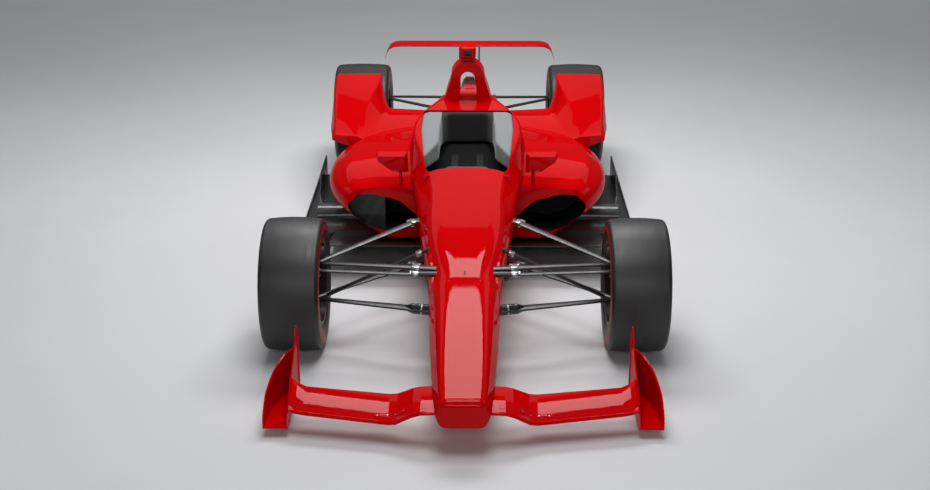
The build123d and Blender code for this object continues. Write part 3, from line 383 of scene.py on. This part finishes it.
# ---------------------------------------------------------------- mirrors
# Each mirror is first surface glass bonded into the rear face of its lacquered housing.
# Silvered glass: a near perfect mirror with a faint film of dust.
mirror_glass = new_material("silvered_glass", "#DADDE0", metallic=1.0, roughness=0.03)
dust = texture(mirror_glass, "Noise", Scale=60.0, Detail=5.0)
vary(mirror_glass, "Roughness", dust, (0.4, 0.02), (0.8, 0.10))
rearwards, housing_rim, glass_proud, glass_thickness = 0.98, 0.006, 0.0006, 0.0005
same_plane = 0.0005
shape = merged_copy("mirrors")
backs = [face for face in shape.faces if face.normal.y > rearwards]
rear_face_y = max(backs, key=lambda face: face.calc_area()).calc_center_median().y
others = [face for face in shape.faces
          if face.normal.y < rearwards or abs(face.calc_center_median().y - rear_face_y) > same_plane]
bmesh.ops.delete(shape, geom=others, context="FACES")
bmesh.ops.dissolve_limit(shape, angle_limit=0.05, verts=shape.verts, edges=shape.edges)
bmesh.ops.inset_region(shape, faces=shape.faces, thickness=housing_rim, depth=0.0, use_boundary=True)
rim = [face for face in shape.faces if any(edge.is_boundary for edge in face.edges)]
bmesh.ops.delete(shape, geom=rim, context="FACES")
bmesh.ops.translate(shape, verts=shape.verts, vec=(0.0, glass_proud, 0.0))
glass = finish("mirror_glass", shape, mirror_glass)
glass.modifiers.new("thickness", "SOLIDIFY").thickness = glass_thickness

# ---------------------------------------------------------------- head pads and seat
# Closed cell foam in flame proof knit: pale grey beside the head, dark behind it, black on the seat.
# Knitted cover: matt, with a fine rib and a soft sheen at grazing light.
rib_pitch = 0.004
wave_turn = 6.3  # a wave texture of scale 1 repeats after about this length


def knitted(name, dark, pale):
    """A knit cover: two close shades in a fine diagonal rib, with a fuzzy relief."""
    material = new_material(name, dark, roughness=0.92, sheen_weight=0.25, sheen_roughness=0.5)
    rib = texture(material, "Wave", Scale=1 / (rib_pitch * wave_turn), Distortion=6.0, Detail=3.0,
                  bands_direction="DIAGONAL")
    fuzz = texture(material, "Noise", Scale=700.0, Detail=3.0)
    vary(material, "Base Color", rib, (0.2, dark), (0.8, pale))
    height = add_node(material, "ShaderNodeMath", {"operation": "ADD"}, {0: (rib, "Fac"), 1: (fuzz, "Fac")})
    emboss(material, height, 0.2, 0.0005, output="Value")
    return material


grey_knit = knitted("grey_knit", "#828486", "#8A8C8E")
black_knit = knitted("black_knit", "#131314", "#1E1F21")
pad_voxel, pad_swell = 0.007, 0.0012


def pad(name, node, material, rounding_steps):
    """A foam pad: the CAD block remeshed, rounded, and swollen back by its stuffing."""
    source = merged_copy(node)
    block = bpy.data.meshes.new(name)
    source.to_mesh(block)
    source.free()
    piece = bpy.data.objects.new(name, block)
    scene.collection.objects.link(piece)
    remesh = piece.modifiers.new("remesh", "REMESH")
    remesh.mode, remesh.voxel_size = "VOXEL", pad_voxel
    round_off = piece.modifiers.new("round_off", "SMOOTH")
    round_off.factor, round_off.iterations = 0.8, rounding_steps
    bpy.context.view_layer.update()
    evaluated = piece.evaluated_get(bpy.context.evaluated_depsgraph_get())
    soft = bpy.data.meshes.new_from_object(evaluated)
    piece.modifiers.clear()
    shape = bmesh.new()
    shape.from_mesh(soft)
    shape.normal_update()
    for vertex in shape.verts:
        vertex.co += vertex.normal * pad_swell
    shape.to_mesh(soft)
    shape.free()
    piece.data = soft
    soft.shade_smooth()
    soft.materials.clear()
    soft.materials.append(material)
    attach(piece, "chassis")
    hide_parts(node)
    return piece


head_pad = pad("head_pad_cushion", "head_pads", grey_knit, 5)
# the part behind the head is made dark, with the black knit
head_pad.data.materials.append(black_knit)
head_half, head_start = 0.152, spot(0.0, 1.44, 0.0).y
for face in head_pad.data.polygons:
    if abs(face.center.x) < head_half and face.center.y > head_start:
        face.material_index = 1
pad("seat_cushion", "seat", black_knit, 6)

# ---------------------------------------------------------------- harness
# Six straps of polyester webbing meet in a turn buckle: two shoulder, two lap, two leg straps.
# Close ribbed weave with a dull sheen, 40 to 50 mm wide, passed through steel adjusters.
webbing = new_material("harness_webbing", "#17181B", roughness=0.7, sheen_weight=0.4, sheen_roughness=0.4)
ribs = texture(webbing, "Wave", Scale=90.0, bands_direction="X")
vary(webbing, "Base Color", ribs, (0.2, "#101113"), (0.8, "#26282C"))
emboss(webbing, ribs, 0.4, 0.0005)
buckle_place = spot(0.0, 1.215, 0.262)
strap_thickness = 0.0024
strap_routes = (
    # points from the anchorage to the buckle, and the strap's width
    ((spot(0.070, 1.575, 0.560), spot(0.075, 1.500, 0.512), spot(0.072, 1.400, 0.392),
      spot(0.045, 1.290, 0.290), spot(0.016, 1.225, 0.262)), 0.050),
    ((spot(0.165, 1.330, 0.150), spot(0.140, 1.300, 0.205), spot(0.085, 1.250, 0.248),
      spot(0.022, 1.212, 0.258)), 0.046),
    ((spot(0.052, 1.120, 0.178), spot(0.045, 1.150, 0.216), spot(0.018, 1.200, 0.254)), 0.040),
)
shape = bmesh.new()
for route, width in strap_routes:
    for way in (1.0, -1.0):
        points = [Vector((p.x * way, p.y, p.z)) for p in route]
        ends = [shape.verts.new(points[0] + Vector((half * width, 0, 0))) for half in (-0.5, 0.5)]
        edge = shape.edges.new(ends)
        for start, end in zip(points, points[1:]):
            run = bmesh.ops.extrude_edge_only(shape, edges=[edge])["geom"]
            moved = [item for item in run if isinstance(item, bmesh.types.BMVert)]
            bmesh.ops.translate(shape, verts=moved, vec=end - start)
            edge = next(item for item in run
                        if isinstance(item, bmesh.types.BMEdge) and set(item.verts) == set(moved))
straps = finish("harness_straps", shape, webbing)
curve = straps.modifiers.new("curve", "SUBSURF")
curve.levels = curve.render_levels = 2
straps.modifiers.new("thickness", "SOLIDIFY").thickness = strap_thickness

shape = bmesh.new()
buckle_axis = Vector((0.0, -0.55, 0.83)).normalized()
for height, radius, length, end_radius, sides, rounding in (
    (0.010, 0.030, 0.016, 0.027, 40, 0.003), (0.022, 0.021, 0.010, 0.019, 8, 0.002),
):
    add_drum(shape, buckle_place + buckle_axis * height, buckle_axis, radius, length, end_radius, sides,
             rounding)
# a steel adjuster on each shoulder strap, at the strap's slope there
adjuster_x, adjuster_slope = 0.0735, math.radians(-48)
for x in (adjuster_x, -adjuster_x):
    tilt = Matrix.Rotation(adjuster_slope, 4, "X")
    add_slab(shape, spot(x, 1.440, 0.446), (0.060, 0.042, 0.007), tilt, rounding=0.0025)
finish("harness_buckle", shape, plated_steel)

# ---------------------------------------------------------------- steering wheel
# A carbon plate with moulded rubber grips, a dark display, buttons, dials and two shift paddles.
# The wheel's own axes: across, up its face, and towards the driver along the column.
column_tilt = math.radians(14.0)
hub = spot(0.0, 0.925, 0.556)
column_axis = Vector((0.0, math.cos(column_tilt), math.sin(column_tilt)))
face_up = Vector((0.0, -math.sin(column_tilt), math.cos(column_tilt)))


def on_wheel(across, up, towards):
    """A point on the wheel, up its face and towards the driver."""
    return hub + Vector((across, 0.0, 0.0)) + face_up * up + column_axis * towards


face_turn = column_axis.to_track_quat("Z", "Y").to_matrix().to_4x4()
# heights of the parts' middles above the plate's own, towards the driver
display_height, nut_height, button_height, dial_height, paddle_height = 0.0172, 0.0180, 0.0185, 0.0215, -0.022
grip_x, dial_x, paddle_x = 0.108, 0.046, 0.078
grip_rubber = new_material("grip_rubber", "#101011", roughness=0.78)
pimples = texture(grip_rubber, "Voronoi", Scale=380.0)
emboss(grip_rubber, pimples, 0.5, 0.0006, output="Distance")
shape = bmesh.new()
for x in (grip_x, -grip_x):
    add_slab(shape, on_wheel(x, -0.008, 0.0), (0.040, 0.118, 0.038), face_turn, rounding=0.015)
finish("wheel_grips", shape, grip_rubber, "steering_wheel")
shape = bmesh.new()
add_slab(shape, on_wheel(0.0, 0.036, display_height), (0.104, 0.044, 0.004), face_turn, rounding=0.0015)
finish("wheel_display", shape, dark_glass, "steering_wheel")
buttons = {
    # name: colour, then each button's place across and up the face
    "red_cap": ("#B3121A", (0.066, 0.052), (-0.084, -0.062)),
    "white_cap": ("#D9D9D5", (-0.066, 0.052), (0.084, -0.062)),
    "green_cap": ("#1E8F3C", (0.020, -0.030)),
    "blue_cap": ("#1D57B8", (-0.020, -0.030)),
    "amber_cap": ("#D08A12", (0.0, -0.052)),
}
for name, (cap_colour, *places) in buttons.items():
    cap = new_material(name, cap_colour, roughness=0.35)
    grain = texture(cap, "Noise", Scale=600.0)
    vary(cap, "Roughness", grain, (0.3, 0.3), (0.7, 0.5))
    shape = bmesh.new()
    for across, up in places:
        add_drum(shape, on_wheel(across, up, button_height), column_axis, 0.0075, 0.007,
                 end_radius=0.0068, rounding=0.001)
    finish(f"wheel_button_{name}", shape, cap, "steering_wheel")
shape = bmesh.new()
for across in (-dial_x, dial_x):
    add_drum(shape, on_wheel(across, -0.060, dial_height), column_axis, 0.0105, 0.013,
             end_radius=0.0090, sides=14, rounding=0.001)
add_drum(shape, on_wheel(0.0, -0.005, nut_height), column_axis, 0.012, 0.006, sides=6, rounding=0.001)
for across in (-paddle_x, paddle_x):
    add_slab(shape, on_wheel(across, 0.006, paddle_height), (0.050, 0.070, 0.003), face_turn, rounding=0.001)
finish("wheel_dials_and_paddles", shape, plated_steel, "steering_wheel")

# ---------------------------------------------------------------- side pods and radiators
# Radiator cores are stacks of dull black aluminium fins across the pods' ducts, whose insides are painted
# shade.
# Thin brazed sheet: a fine vertical pleat between the flat fins.
core = new_material("radiator_core", "#2B2D30", metallic=0.7, roughness=0.55)
pleat = texture(core, "Wave", Scale=70.0, bands_direction="X")
vary(core, "Base Color", pleat, (0.3, "#17181A"), (0.8, "#3A3D41"))
emboss(core, pleat, 0.6, 0.001)
dress(core, "radiators")

# ---------------------------------------------------------------- front wing
# One composite blade, lacquered; a rolled lip stiffens its leading edge.
# Two fine dark red strips along its skin paint the shade in two shallow groove lines there, and cover plates
# close the adjuster pockets inboard.
wing_z_limit = 0.30
wing_inner_x, wing_span, wing_steps = 0.155, 0.59, 58
wing_stations = [wing_inner_x + wing_span * step / wing_steps for step in range(wing_steps + 1)]
wing_nose_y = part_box("front_wing")[0].y
deepest_lead, lead_step = 0.16, 0.001


def lead_edge(x):
    """Where the wing's skin starts at a distance from the middle, looking down."""
    y = wing_nose_y
    while drop_on("front_wing", x, y, wing_z_limit)[0] is None and y < wing_nose_y + deepest_lead:
        y += lead_step
    return y


leads = {x: lead_edge(x) for x in wing_stations}
# a strip's section, as shares of its half width and of what it stands proud
strip_section = ((-1.0, -0.5), (-0.87, 0.5), (-0.5, 0.87), (0.0, 1.0), (0.5, 0.87), (0.87, 0.5), (1.0, -0.5))
lip, groove_shade_strips = bmesh.new(), bmesh.new()
strips = (
    # distance behind the leading edge, half width, height, what it belongs to
    (0.0056, 0.0052, 0.0042, lip),
    (0.030, 0.0011, 0.0003, groove_shade_strips),
    (0.052, 0.0011, 0.0003, groove_shade_strips),
)
for way in (1, -1):
    for behind, half, proud, target in strips:
        rows = []
        for x in wing_stations:
            where, normal = drop_on("front_wing", x * way, leads[x] + behind, wing_z_limit)
            if where is None:
                continue
            back = Vector((0.0, normal.z, -normal.y))
            rows.append([target.verts.new(where + back * across * half + normal * rise * proud)
                         for across, rise in strip_section])
        for before, after in zip(rows, rows[1:]):
            for corner in range(len(strip_section) - 1):
                target.faces.new((before[corner], before[corner + 1], after[corner + 1], after[corner]))
        for row in (rows[0], rows[-1]):
            target.faces.new(row)
finish("wing_lip", lip, red_lacquer, sharp=60.0)
# the strips' dark red is painted shade of the groove lines
finish("wing_groove_shade_strips", groove_shade_strips, sealant_and_painted_shade, sharp=60.0)
pocket_places = ((0.345, 0.040), (0.270, 0.050))  # from the middle, behind the leading edge
covers, gaskets, screws = bmesh.new(), bmesh.new(), bmesh.new()
for way in (1, -1):
    for x, behind in pocket_places:
        lead = leads[min(wing_stations, key=lambda at: abs(at - x))]
        where, normal = drop_on("front_wing", x * way, lead + behind, wing_z_limit)
        span = Vector((way, 0.0, 0.0))
        span = (span - normal * span.dot(normal)).normalized()
        turn = Matrix((span, normal.cross(span), normal)).transposed().to_4x4()
        add_slab(gaskets, where + normal * 0.0003, (0.062, 0.024, 0.0012), turn, rounding=0.0003)
        add_slab(covers, where + normal * 0.0008, (0.056, 0.018, 0.0020), turn, rounding=0.0006)
        for end in (1, -1):
            add_drum(screws, where + normal * 0.0020 + span * end * 0.022, normal, 0.0028, 0.0014, sides=14,
                     rounding=0.0003)
finish("wing_pocket_covers", covers, red_lacquer)
finish("wing_pocket_gaskets", gaskets, sealant_and_painted_shade)
finish("wing_pocket_screws", screws, plated_steel)

# ---------------------------------------------------------------- suspension
# Tubes of streamlined steel, black enamelled, with plated fittings bolted round them.
# Enamel: satin, a touch uneven where it was sprayed round the tubes.
enamel = new_material("black_enamel", "#141415", roughness=0.36, coat_weight=0.3, coat_roughness=0.25)
spray = texture(enamel, "Noise", Scale=45.0, Detail=3.0)
vary(enamel, "Roughness", spray, (0.3, 0.28), (0.7, 0.46))
dress(enamel, "front_wishbones", "front_pushrods", "rear_wishbones", "rear_pushrods", "steering_rack")

# Ball joints and feet: distance from the middle, distance behind the front axle, height.
upper_ball, lower_ball, rod_foot = (0.728, 0.0, 0.434), (0.748, 0.0, 0.250), (0.678, 0.006, 0.262)
rear_upper, rear_lower = (0.618, 3.050, 0.482), (0.618, 3.050, 0.214)
legs = (
    # outer end, inner end, where the fitting sits, its length, chord and thickness
    (upper_ball, (0.120, -0.115, 0.452), 0.232, (0.040, 0.055, 0.0265)),
    (upper_ball, (0.150, 0.560, 0.500), 0.275, (0.034, 0.055, 0.0265)),
    (lower_ball, (0.130, 0.600, 0.245), 0.275, (0.034, 0.055, 0.0265)),
    (rod_foot, (0.098, 0.070, 0.520), 0.225, (0.030, 0.035, 0.0215)),
    (rear_upper, (0.090, 2.850, 0.425), 0.165, (0.034, 0.055, 0.0215)),
    (rear_upper, (0.090, 3.260, 0.425), 0.165, (0.034, 0.055, 0.0215)),
    (rear_lower, (0.090, 2.760, 0.168), 0.165, (0.034, 0.065, 0.0215)),
    (rear_lower, (0.090, 3.230, 0.168), 0.165, (0.034, 0.055, 0.0215)),
)


def on_leg(outer, inner, way, x):
    """The point of a leg at a distance from the middle, and the leg's direction inwards."""
    start, end = (spot(place[0] * way, place[1], place[2]) for place in (outer, inner))
    return start.lerp(end, (outer[0] - x) / (outer[0] - inner[0])), (end - start).normalized()


leg_bolt_share, leg_bolt_across = 0.3, 0.0095
fittings = bmesh.new()
for outer, inner, x, (length, chord, thickness) in legs:
    for way in (1, -1):
        joint, run = on_leg(outer, inner, way, x)
        across = run.cross(upwards).normalized()
        up = across.cross(run)
        turn = Matrix((run, across, up)).transposed().to_4x4()
        add_slab(fittings, joint, (length, chord, thickness), turn, rounding=0.004)
        for step in (-leg_bolt_share, leg_bolt_share):
            for face in (1, -1):
                foot = joint + run * step * length + up * face * thickness / 2
                add_bolt(fittings, foot, up * face, leg_bolt_across)
# a polished ring where each lower front leg's boss meets the cell, with a bolt on the boss
boss_end = (0.100, -0.175, 0.256)
boss_ring_x, boss_bolt_x, boss_radius = 0.203, 0.232, 0.0255
for way in (1, -1):
    ring, run = on_leg(lower_ball, boss_end, way, boss_ring_x)
    add_drum(fittings, ring, run, 0.0275, 0.007, sides=40, rounding=0.001)
    bolt_foot, _ = on_leg(lower_ball, boss_end, way, boss_bolt_x)
    add_bolt(fittings, bolt_foot + upwards * boss_radius, upwards, 0.012)
finish("leg_fittings", fittings, plated_steel)

# A lock nut and a turned sleeve where each track rod screws into the rack.
sleeve_x, lock_nut_offset = 0.235, 0.024
sleeves = bmesh.new()
for way in (1, -1):
    middle = spot(way * sleeve_x, -0.150, 0.438)
    lock_nut = middle + Vector((way * lock_nut_offset, 0, 0))
    add_drum(sleeves, middle, (way, 0, 0), 0.0145, 0.030, sides=28, rounding=0.002)
    add_drum(sleeves, lock_nut, (way, 0, 0), 0.0165, 0.010, sides=6, rounding=0.001)
finish("rack_sleeves", sleeves, plated_steel, "steering_rack")

# A nut on the pin above each upper ball joint turns with its knuckle.
nut_lift, nut_across = 0.0105, 0.017
for side, way in (("left", 1), ("right", -1)):
    nuts = bmesh.new()
    ball, kingpin = on_leg(upper_ball, lower_ball, way, upper_ball[0])
    add_bolt(nuts, ball - kingpin * nut_lift, -kingpin, nut_across)
    finish(f"kingpin_nut_{side}", nuts, plated_steel, f"knuckle_{side}")

# Track rod ends: a steel eye over a folded black rubber boot round the pin, above the steering arm.
boot_rubber = new_material("boot_rubber", "#121213", roughness=0.7)
bloom = texture(boot_rubber, "Noise", Scale=90.0, Detail=4.0)
vary(boot_rubber, "Base Color", bloom, (0.3, "#0D0D0E"), (0.7, "#1B1B1C"))
# The gap left above the arm is what the leaning kingpin takes up at full lock.
boot_low, eye_low, eye_top = 0.4262, 0.4295, 0.4435
boot_profile = (
    # radius, height
    (0.0088, boot_low), (0.0128, boot_low), (0.0118, 0.4272), (0.0126, 0.4284), (0.0108, eye_low),
    (0.0088, eye_low),
)
boots, studs = bmesh.new(), bmesh.new()
for way in (1, -1):
    foot = spot(way * 0.702, -0.105, 0.0)
    corners = [boots.verts.new(foot + Vector((radius, 0.0, z))) for radius, z in boot_profile]
    sides = [boots.edges.new((corners[number - 1], corners[number])) for number in range(len(corners))]
    bmesh.ops.spin(boots, geom=corners + sides, cent=foot, axis=upwards, angle=2 * math.pi, steps=32,
                   use_merge=True)
    add_drum(studs, foot + upwards * (eye_top + 0.001), upwards, 0.0105, 0.004, rounding=0.001)
    add_bolt(studs, foot + upwards * (eye_top + 0.003), upwards, 0.013)
finish("track_rod_boots", boots, boot_rubber, "steering_rack")
finish("track_rod_nuts", studs, plated_steel, "steering_rack")

# Uprights, calipers and steering arms are machined from aluminium billet.
# Fine cutter lines run across the car, so the sheen changes along them.
billet = new_material("machined_aluminium", "#85878A", metallic=1.0, roughness=0.35)
stretched = mapping(billet, Scale=(12.0, 500.0, 500.0))
cutter = texture(billet, "Noise", stretched, Scale=1.0, Detail=2.0)
vary(billet, "Roughness", cutter, (0.3, 0.28), (0.7, 0.5))
dress(billet, "knuckle_left", "knuckle_right", "rear_uprights")

# ---------------------------------------------------------------- wheels
# Forged magnesium rims, dark anodised, each with a single centre nut and six drive pins.
# A satin dark metal with a slight cloud in its sheen.
magnesium = new_material("dark_magnesium", "#242527", metallic=0.85, roughness=0.38)
cloud = texture(magnesium, "Noise", Scale=28.0, Detail=4.0)
vary(magnesium, "Roughness", cloud, (0.3, 0.28), (0.7, 0.5))
dress(magnesium, *[f"rim_{end}_{side}" for end in ("front", "rear") for side in ("left", "right")])

# Slick tyres: soft black rubber, the tread scuffed along the way it rolls, the sidewall smoother
# with moulded rings and one dark red stripe below the shoulder.
tyre_sizes = {
    # end: axle's place along the car, tyre radius, stripe's inner and outer radius, nut's foot
    "front": (front_axle_y, front_high.z / 2, 0.264, 0.290, 0.920),
    "rear": (rear_axle_y, rear_high.z / 2, 0.286, 0.312, 0.858),
}
stripe_fade, ring_pitch = 0.0012, 0.007
for end, (axle_y, radius, stripe_in, stripe_out, _) in tyre_sizes.items():
    rubber = new_material(f"slick_rubber_{end}", "#161616", roughness=0.5, specular_ior_level=0.7)
    centred = mapping(rubber, Location=(0.0, -axle_y, -radius))
    flat = add_node(rubber, "ShaderNodeMapping", {"Scale": (0.0, 1.0, 1.0)}, {"Vector": (centred, "Vector")})
    reach = add_node(rubber, "ShaderNodeVectorMath", {"operation": "LENGTH"}, {0: (flat, "Vector")})
    fade = stripe_fade / radius
    stripe = add_node(rubber, "ShaderNodeMapRange", {"From Max": radius}, {"Value": (reach, "Value")})
    bands = add_node(rubber, "ShaderNodeValToRGB", links={"Fac": (stripe, "Result")}, stops=(
        (stripe_in / radius, 0.0), (stripe_in / radius + fade, 1.0), (stripe_out / radius, 1.0),
        (stripe_out / radius + fade, 0.0)))
    scuffs = texture(rubber, "Noise", mapping(rubber, Scale=(160.0, 7.0, 7.0)), Scale=1.0, Detail=5.0)
    black = add_node(rubber, "ShaderNodeValToRGB", links={"Fac": (scuffs, "Fac")},
                     stops=((0.3, "#0E0E0E"), (0.75, "#1B1B1B")))
    colour = add_node(rubber, "ShaderNodeMixRGB", {"Color2": linear("#98080F")},
                      {"Fac": (bands, "Color"), "Color1": (black, "Color")})
    connect(rubber, colour, "Color", "Base Color")
    vary(rubber, "Roughness", scuffs, (0.3, 0.40), (0.75, 0.56))
    # moulded rings on the sidewall and the tread's own fine grain
    turns = add_node(rubber, "ShaderNodeMath", {"operation": "MULTIPLY", 1: 2 * math.pi / ring_pitch},
                     {0: (reach, "Value")})
    rings = add_node(rubber, "ShaderNodeMath", {"operation": "SINE"}, {0: (turns, "Value")})
    grain = texture(rubber, "Noise", Scale=350.0, Detail=3.0)
    relief = add_node(rubber, "ShaderNodeMath", {"operation": "MULTIPLY_ADD", 1: 2.0},
                      {0: (grain, "Fac"), 2: (rings, "Value")})
    emboss(rubber, relief, 0.25, 0.0004, output="Value")
    dress(rubber, f"tyre_{end}_left", f"tyre_{end}_right")

# Brake discs and shafts: ground steel, its marks in circles round the axle.
for end, nodes in (("front", ("brake_disc_front_left", "brake_disc_front_right")),
                   ("rear", ("driveshaft_left", "driveshaft_right"))):
    axle_y, radius = tyre_sizes[end][:2]
    steel = new_material(f"ground_steel_{end}", "#6E6C6B", metallic=1.0, roughness=0.32)
    centred = mapping(steel, Location=(0.0, -axle_y, -radius))
    circles = texture(steel, "Wave", centred, wave_type="RINGS", rings_direction="X", Scale=120.0,
                      Distortion=3.0, Detail=3.0)
    vary(steel, "Roughness", circles, (0.2, 0.25), (0.8, 0.5))
    vary(steel, "Base Color", circles, (0.2, "#5C5A5C"), (0.8, "#7A7674"))
    dress(steel, *nodes)

# Centre nuts with their lock caps, and drive pins, one set for each wheel.
nut_metal = new_material("anodised_nut", "#8E1016", metallic=1.0, roughness=0.3)
wear = texture(nut_metal, "Noise", Scale=160.0, Detail=4.0)
vary(nut_metal, "Base Color", wear, (0.35, "#86090F"), (0.75, "#B02A2E"))
pin_count, pin_circle = 6, 0.050
for end, (axle_y, radius, _, _, nut_x) in tyre_sizes.items():
    for side, way in (("left", 1), ("right", -1)):
        body = f"wheel_{end}_{side}"
        centre = Vector((nut_x * way, axle_y, radius))
        out = Vector((way, 0.0, 0.0))
        shape = bmesh.new()
        add_drum(shape, centre + out * 0.004, out, 0.038, 0.010, end_radius=0.036, sides=36, rounding=0.001)
        add_drum(shape, centre + out * 0.017, out, 0.031, 0.018, sides=6, rounding=0.002)
        finish(f"wheel_nut_{end}_{side}", shape, nut_metal, body)
        shape = bmesh.new()
        add_drum(shape, centre + out * 0.028, out, 0.014, 0.006, sides=24, rounding=0.001)
        for pin in range(pin_count):
            angle = 2 * math.pi * (pin + 0.5) / pin_count
            place = Vector((0.0, math.cos(angle), math.sin(angle))) * pin_circle
            add_drum(shape, centre + place - out * 0.016, out, 0.006, 0.008, sides=16, rounding=0.001)
        finish(f"drive_pins_{end}_{side}", shape, plated_steel, body)

# ---------------------------------------------------------------- engine and gearbox
# Cast magnesium cases with a sandy skin and a few machined, bolted flanges.
# Dull grey, rough, with shallow pits about a millimetre across.
casting = new_material("sand_cast_magnesium", "#6F7072", metallic=0.8, roughness=0.6)
sand = texture(casting, "Noise", Scale=420.0, Detail=4.0)
emboss(casting, sand, 0.5, 0.0008)
stain = texture(casting, "Noise", Scale=9.0, Detail=5.0)
vary(casting, "Base Color", stain, (0.3, "#5A5B5D"), (0.7, "#7E7F81"))
dress(casting, "engine", "gearbox")

flange_sizes = (
    # distance behind the front axle, half width, bottom and top
    (2.600, 0.098, 0.110, 0.402), (2.900, 0.106, 0.110, 0.432), (3.250, 0.102, 0.130, 0.432),
)
flange_rim, flange_thickness, bolt_margin = 0.010, 0.014, 0.04
flanges, bolts = bmesh.new(), bmesh.new()
for behind, half, low, top in flange_sizes:
    size = (2 * half + flange_rim, flange_thickness, top - low + flange_rim)
    add_slab(flanges, spot(0.0, behind, (low + top) / 2), size, rounding=0.004)
    for z in (low + bolt_margin, (low + top) / 2, top - bolt_margin):
        for way in (1, -1):
            add_bolt(bolts, spot(way * (half + 0.003), behind, z), (way, 0, 0), 0.010)
finish("gearbox_flanges", flanges, casting)
finish("gearbox_bolts", bolts, plated_steel)

# Rubber gaiters with four folds cover the joints at both ends of each driveshaft.
gaiter_folds, fold_pitch, fold_taper = 4, 0.011, 0.0052
for side, way in (("left", 1), ("right", -1)):
    shape = bmesh.new()
    for start, facing in ((0.196, 1), (0.546, -1)):
        for fold in range(gaiter_folds):
            middle = Vector((way * (start + facing * fold * fold_pitch), rear_axle_y, rear_high.z / 2))
            add_drum(shape, middle, (way, 0, 0), 0.0455 - fold * fold_taper, 0.0085, sides=40, rounding=0.003)
    finish(f"shaft_gaiters_{side}", shape, boot_rubber, f"wheel_rear_{side}")

# ---------------------------------------------------------------- exhausts and tail light
# Thin stainless tail pipes, straw to blue where the gas leaves, and a red light on the tail.
# Heat tint: bands of oxide along the last part of the pipe.
pipe_low, pipe_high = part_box("exhausts")
stainless = new_material("heat_tinted_stainless", "#8C8075", metallic=1.0, roughness=0.3)
place = add_node(stainless, "ShaderNodeTexCoord")
split = add_node(stainless, "ShaderNodeSeparateXYZ", links={"Vector": (place, "Object")})
length = add_node(stainless, "ShaderNodeMapRange", {"From Min": pipe_low.y, "From Max": pipe_high.y},
                  {"Value": (split, "Y")})
vary(stainless, "Base Color", length, (0.0, "#8C8075"), (1.0, "#3D3A38"), (0.45, "#A9823F"),
     (0.65, "#5B3A5E"), (0.8, "#2F4468"), output="Result")
soot = texture(stainless, "Noise", Scale=70.0, Detail=4.0)
vary(stainless, "Roughness", soot, (0.3, 0.22), (0.7, 0.45))
dress(stainless, "exhausts")

lens_plastic = new_material("red_lens", "#7E0508", roughness=0.12, coat_weight=1.0, coat_roughness=0.03)
diodes = texture(lens_plastic, "Voronoi", Scale=160.0)
vary(lens_plastic, "Base Color", diodes, (0.1, "#C3151A"), (0.6, "#4E0305"), output="Distance")
dress(lens_plastic, "rear_light")

# ---------------------------------------------------------------- studio
# A pale seamless floor, six softboxes and a quiet grey surround.
studio_reach = 40.0
floor_mesh = bpy.data.meshes.new("studio_floor")
sheet = bmesh.new()
bmesh.ops.create_grid(sheet, x_segments=1, y_segments=1, size=studio_reach)
sheet.to_mesh(floor_mesh)
sheet.free()
studio_floor = bpy.data.objects.new("studio_floor", floor_mesh)
pale_floor = new_material("pale_floor", "#D8D9DB", roughness=0.6, specular_ior_level=0.2)
mottle = texture(pale_floor, "Noise", Scale=0.6, Detail=3.0)
vary(pale_floor, "Base Color", mottle, (0.3, "#D5D6D8"), (0.7, "#DBDCDE"))
# from below the floor is clear, so that the car's underside shows
under = add_node(pale_floor, "ShaderNodeNewGeometry")
clear = add_node(pale_floor, "ShaderNodeBsdfTransparent")
either = add_node(pale_floor, "ShaderNodeMixShader", links={
    "Fac": (under, "Backfacing"), 1: (shader_of(pale_floor), "BSDF"), 2: (clear, "BSDF")})
surface = pale_floor.node_tree.nodes["Material Output"].inputs["Surface"]
pale_floor.node_tree.links.new(either.outputs["Shader"], surface)
floor_mesh.materials.append(pale_floor)
scene.collection.objects.link(studio_floor)

world = bpy.data.worlds.new("studio")
world.use_nodes = True
surround = world.node_tree.nodes["Background"]
surround.inputs["Color"].default_value = linear("#C9CCD0")
surround.inputs["Strength"].default_value = 0.13
scene.world = world


def softbox(name, place, target, width, depth, brightness):
    """A rectangular lamp that faces a point, its power worked out from its size and brightness."""
    lamp = bpy.data.lights.new(name, "AREA")
    lamp.shape = "RECTANGLE"
    lamp.size, lamp.size_y, lamp.energy = width, depth, brightness * width * depth * math.pi
    holder = bpy.data.objects.new(name, lamp)
    holder.location = place
    holder.rotation_euler = (Vector(target) - Vector(place)).to_track_quat("-Z", "Y").to_euler()
    scene.collection.objects.link(holder)


softbox("nose_softbox", (0.0, 1.10, 4.5), (0.0, 1.0999, 0.0), 3.2, 1.7, 9.0)
softbox("key_softbox", (0.0, -2.4, 5.0), (0.0, -1.6, 0.0), 2.0, 3.0, 6.0)
softbox("front_softbox", (0.0, -9.0, 3.6), (0.0, -0.5, 0.3), 6.0, 2.0, 3.4)
softbox("ceiling_softbox", (0.0, 10.5, 7.0), (0.0, 10.4999, 0.0), 18.0, 9.0, 0.6)
softbox("side_softbox_left", (5.5, 0.5, 3.0), (0.0, 0.5, 0.4), 4.0, 1.5, 0.8)
softbox("side_softbox_right", (-5.5, 0.5, 3.0), (0.0, 0.5, 0.4), 4.0, 1.5, 0.8)
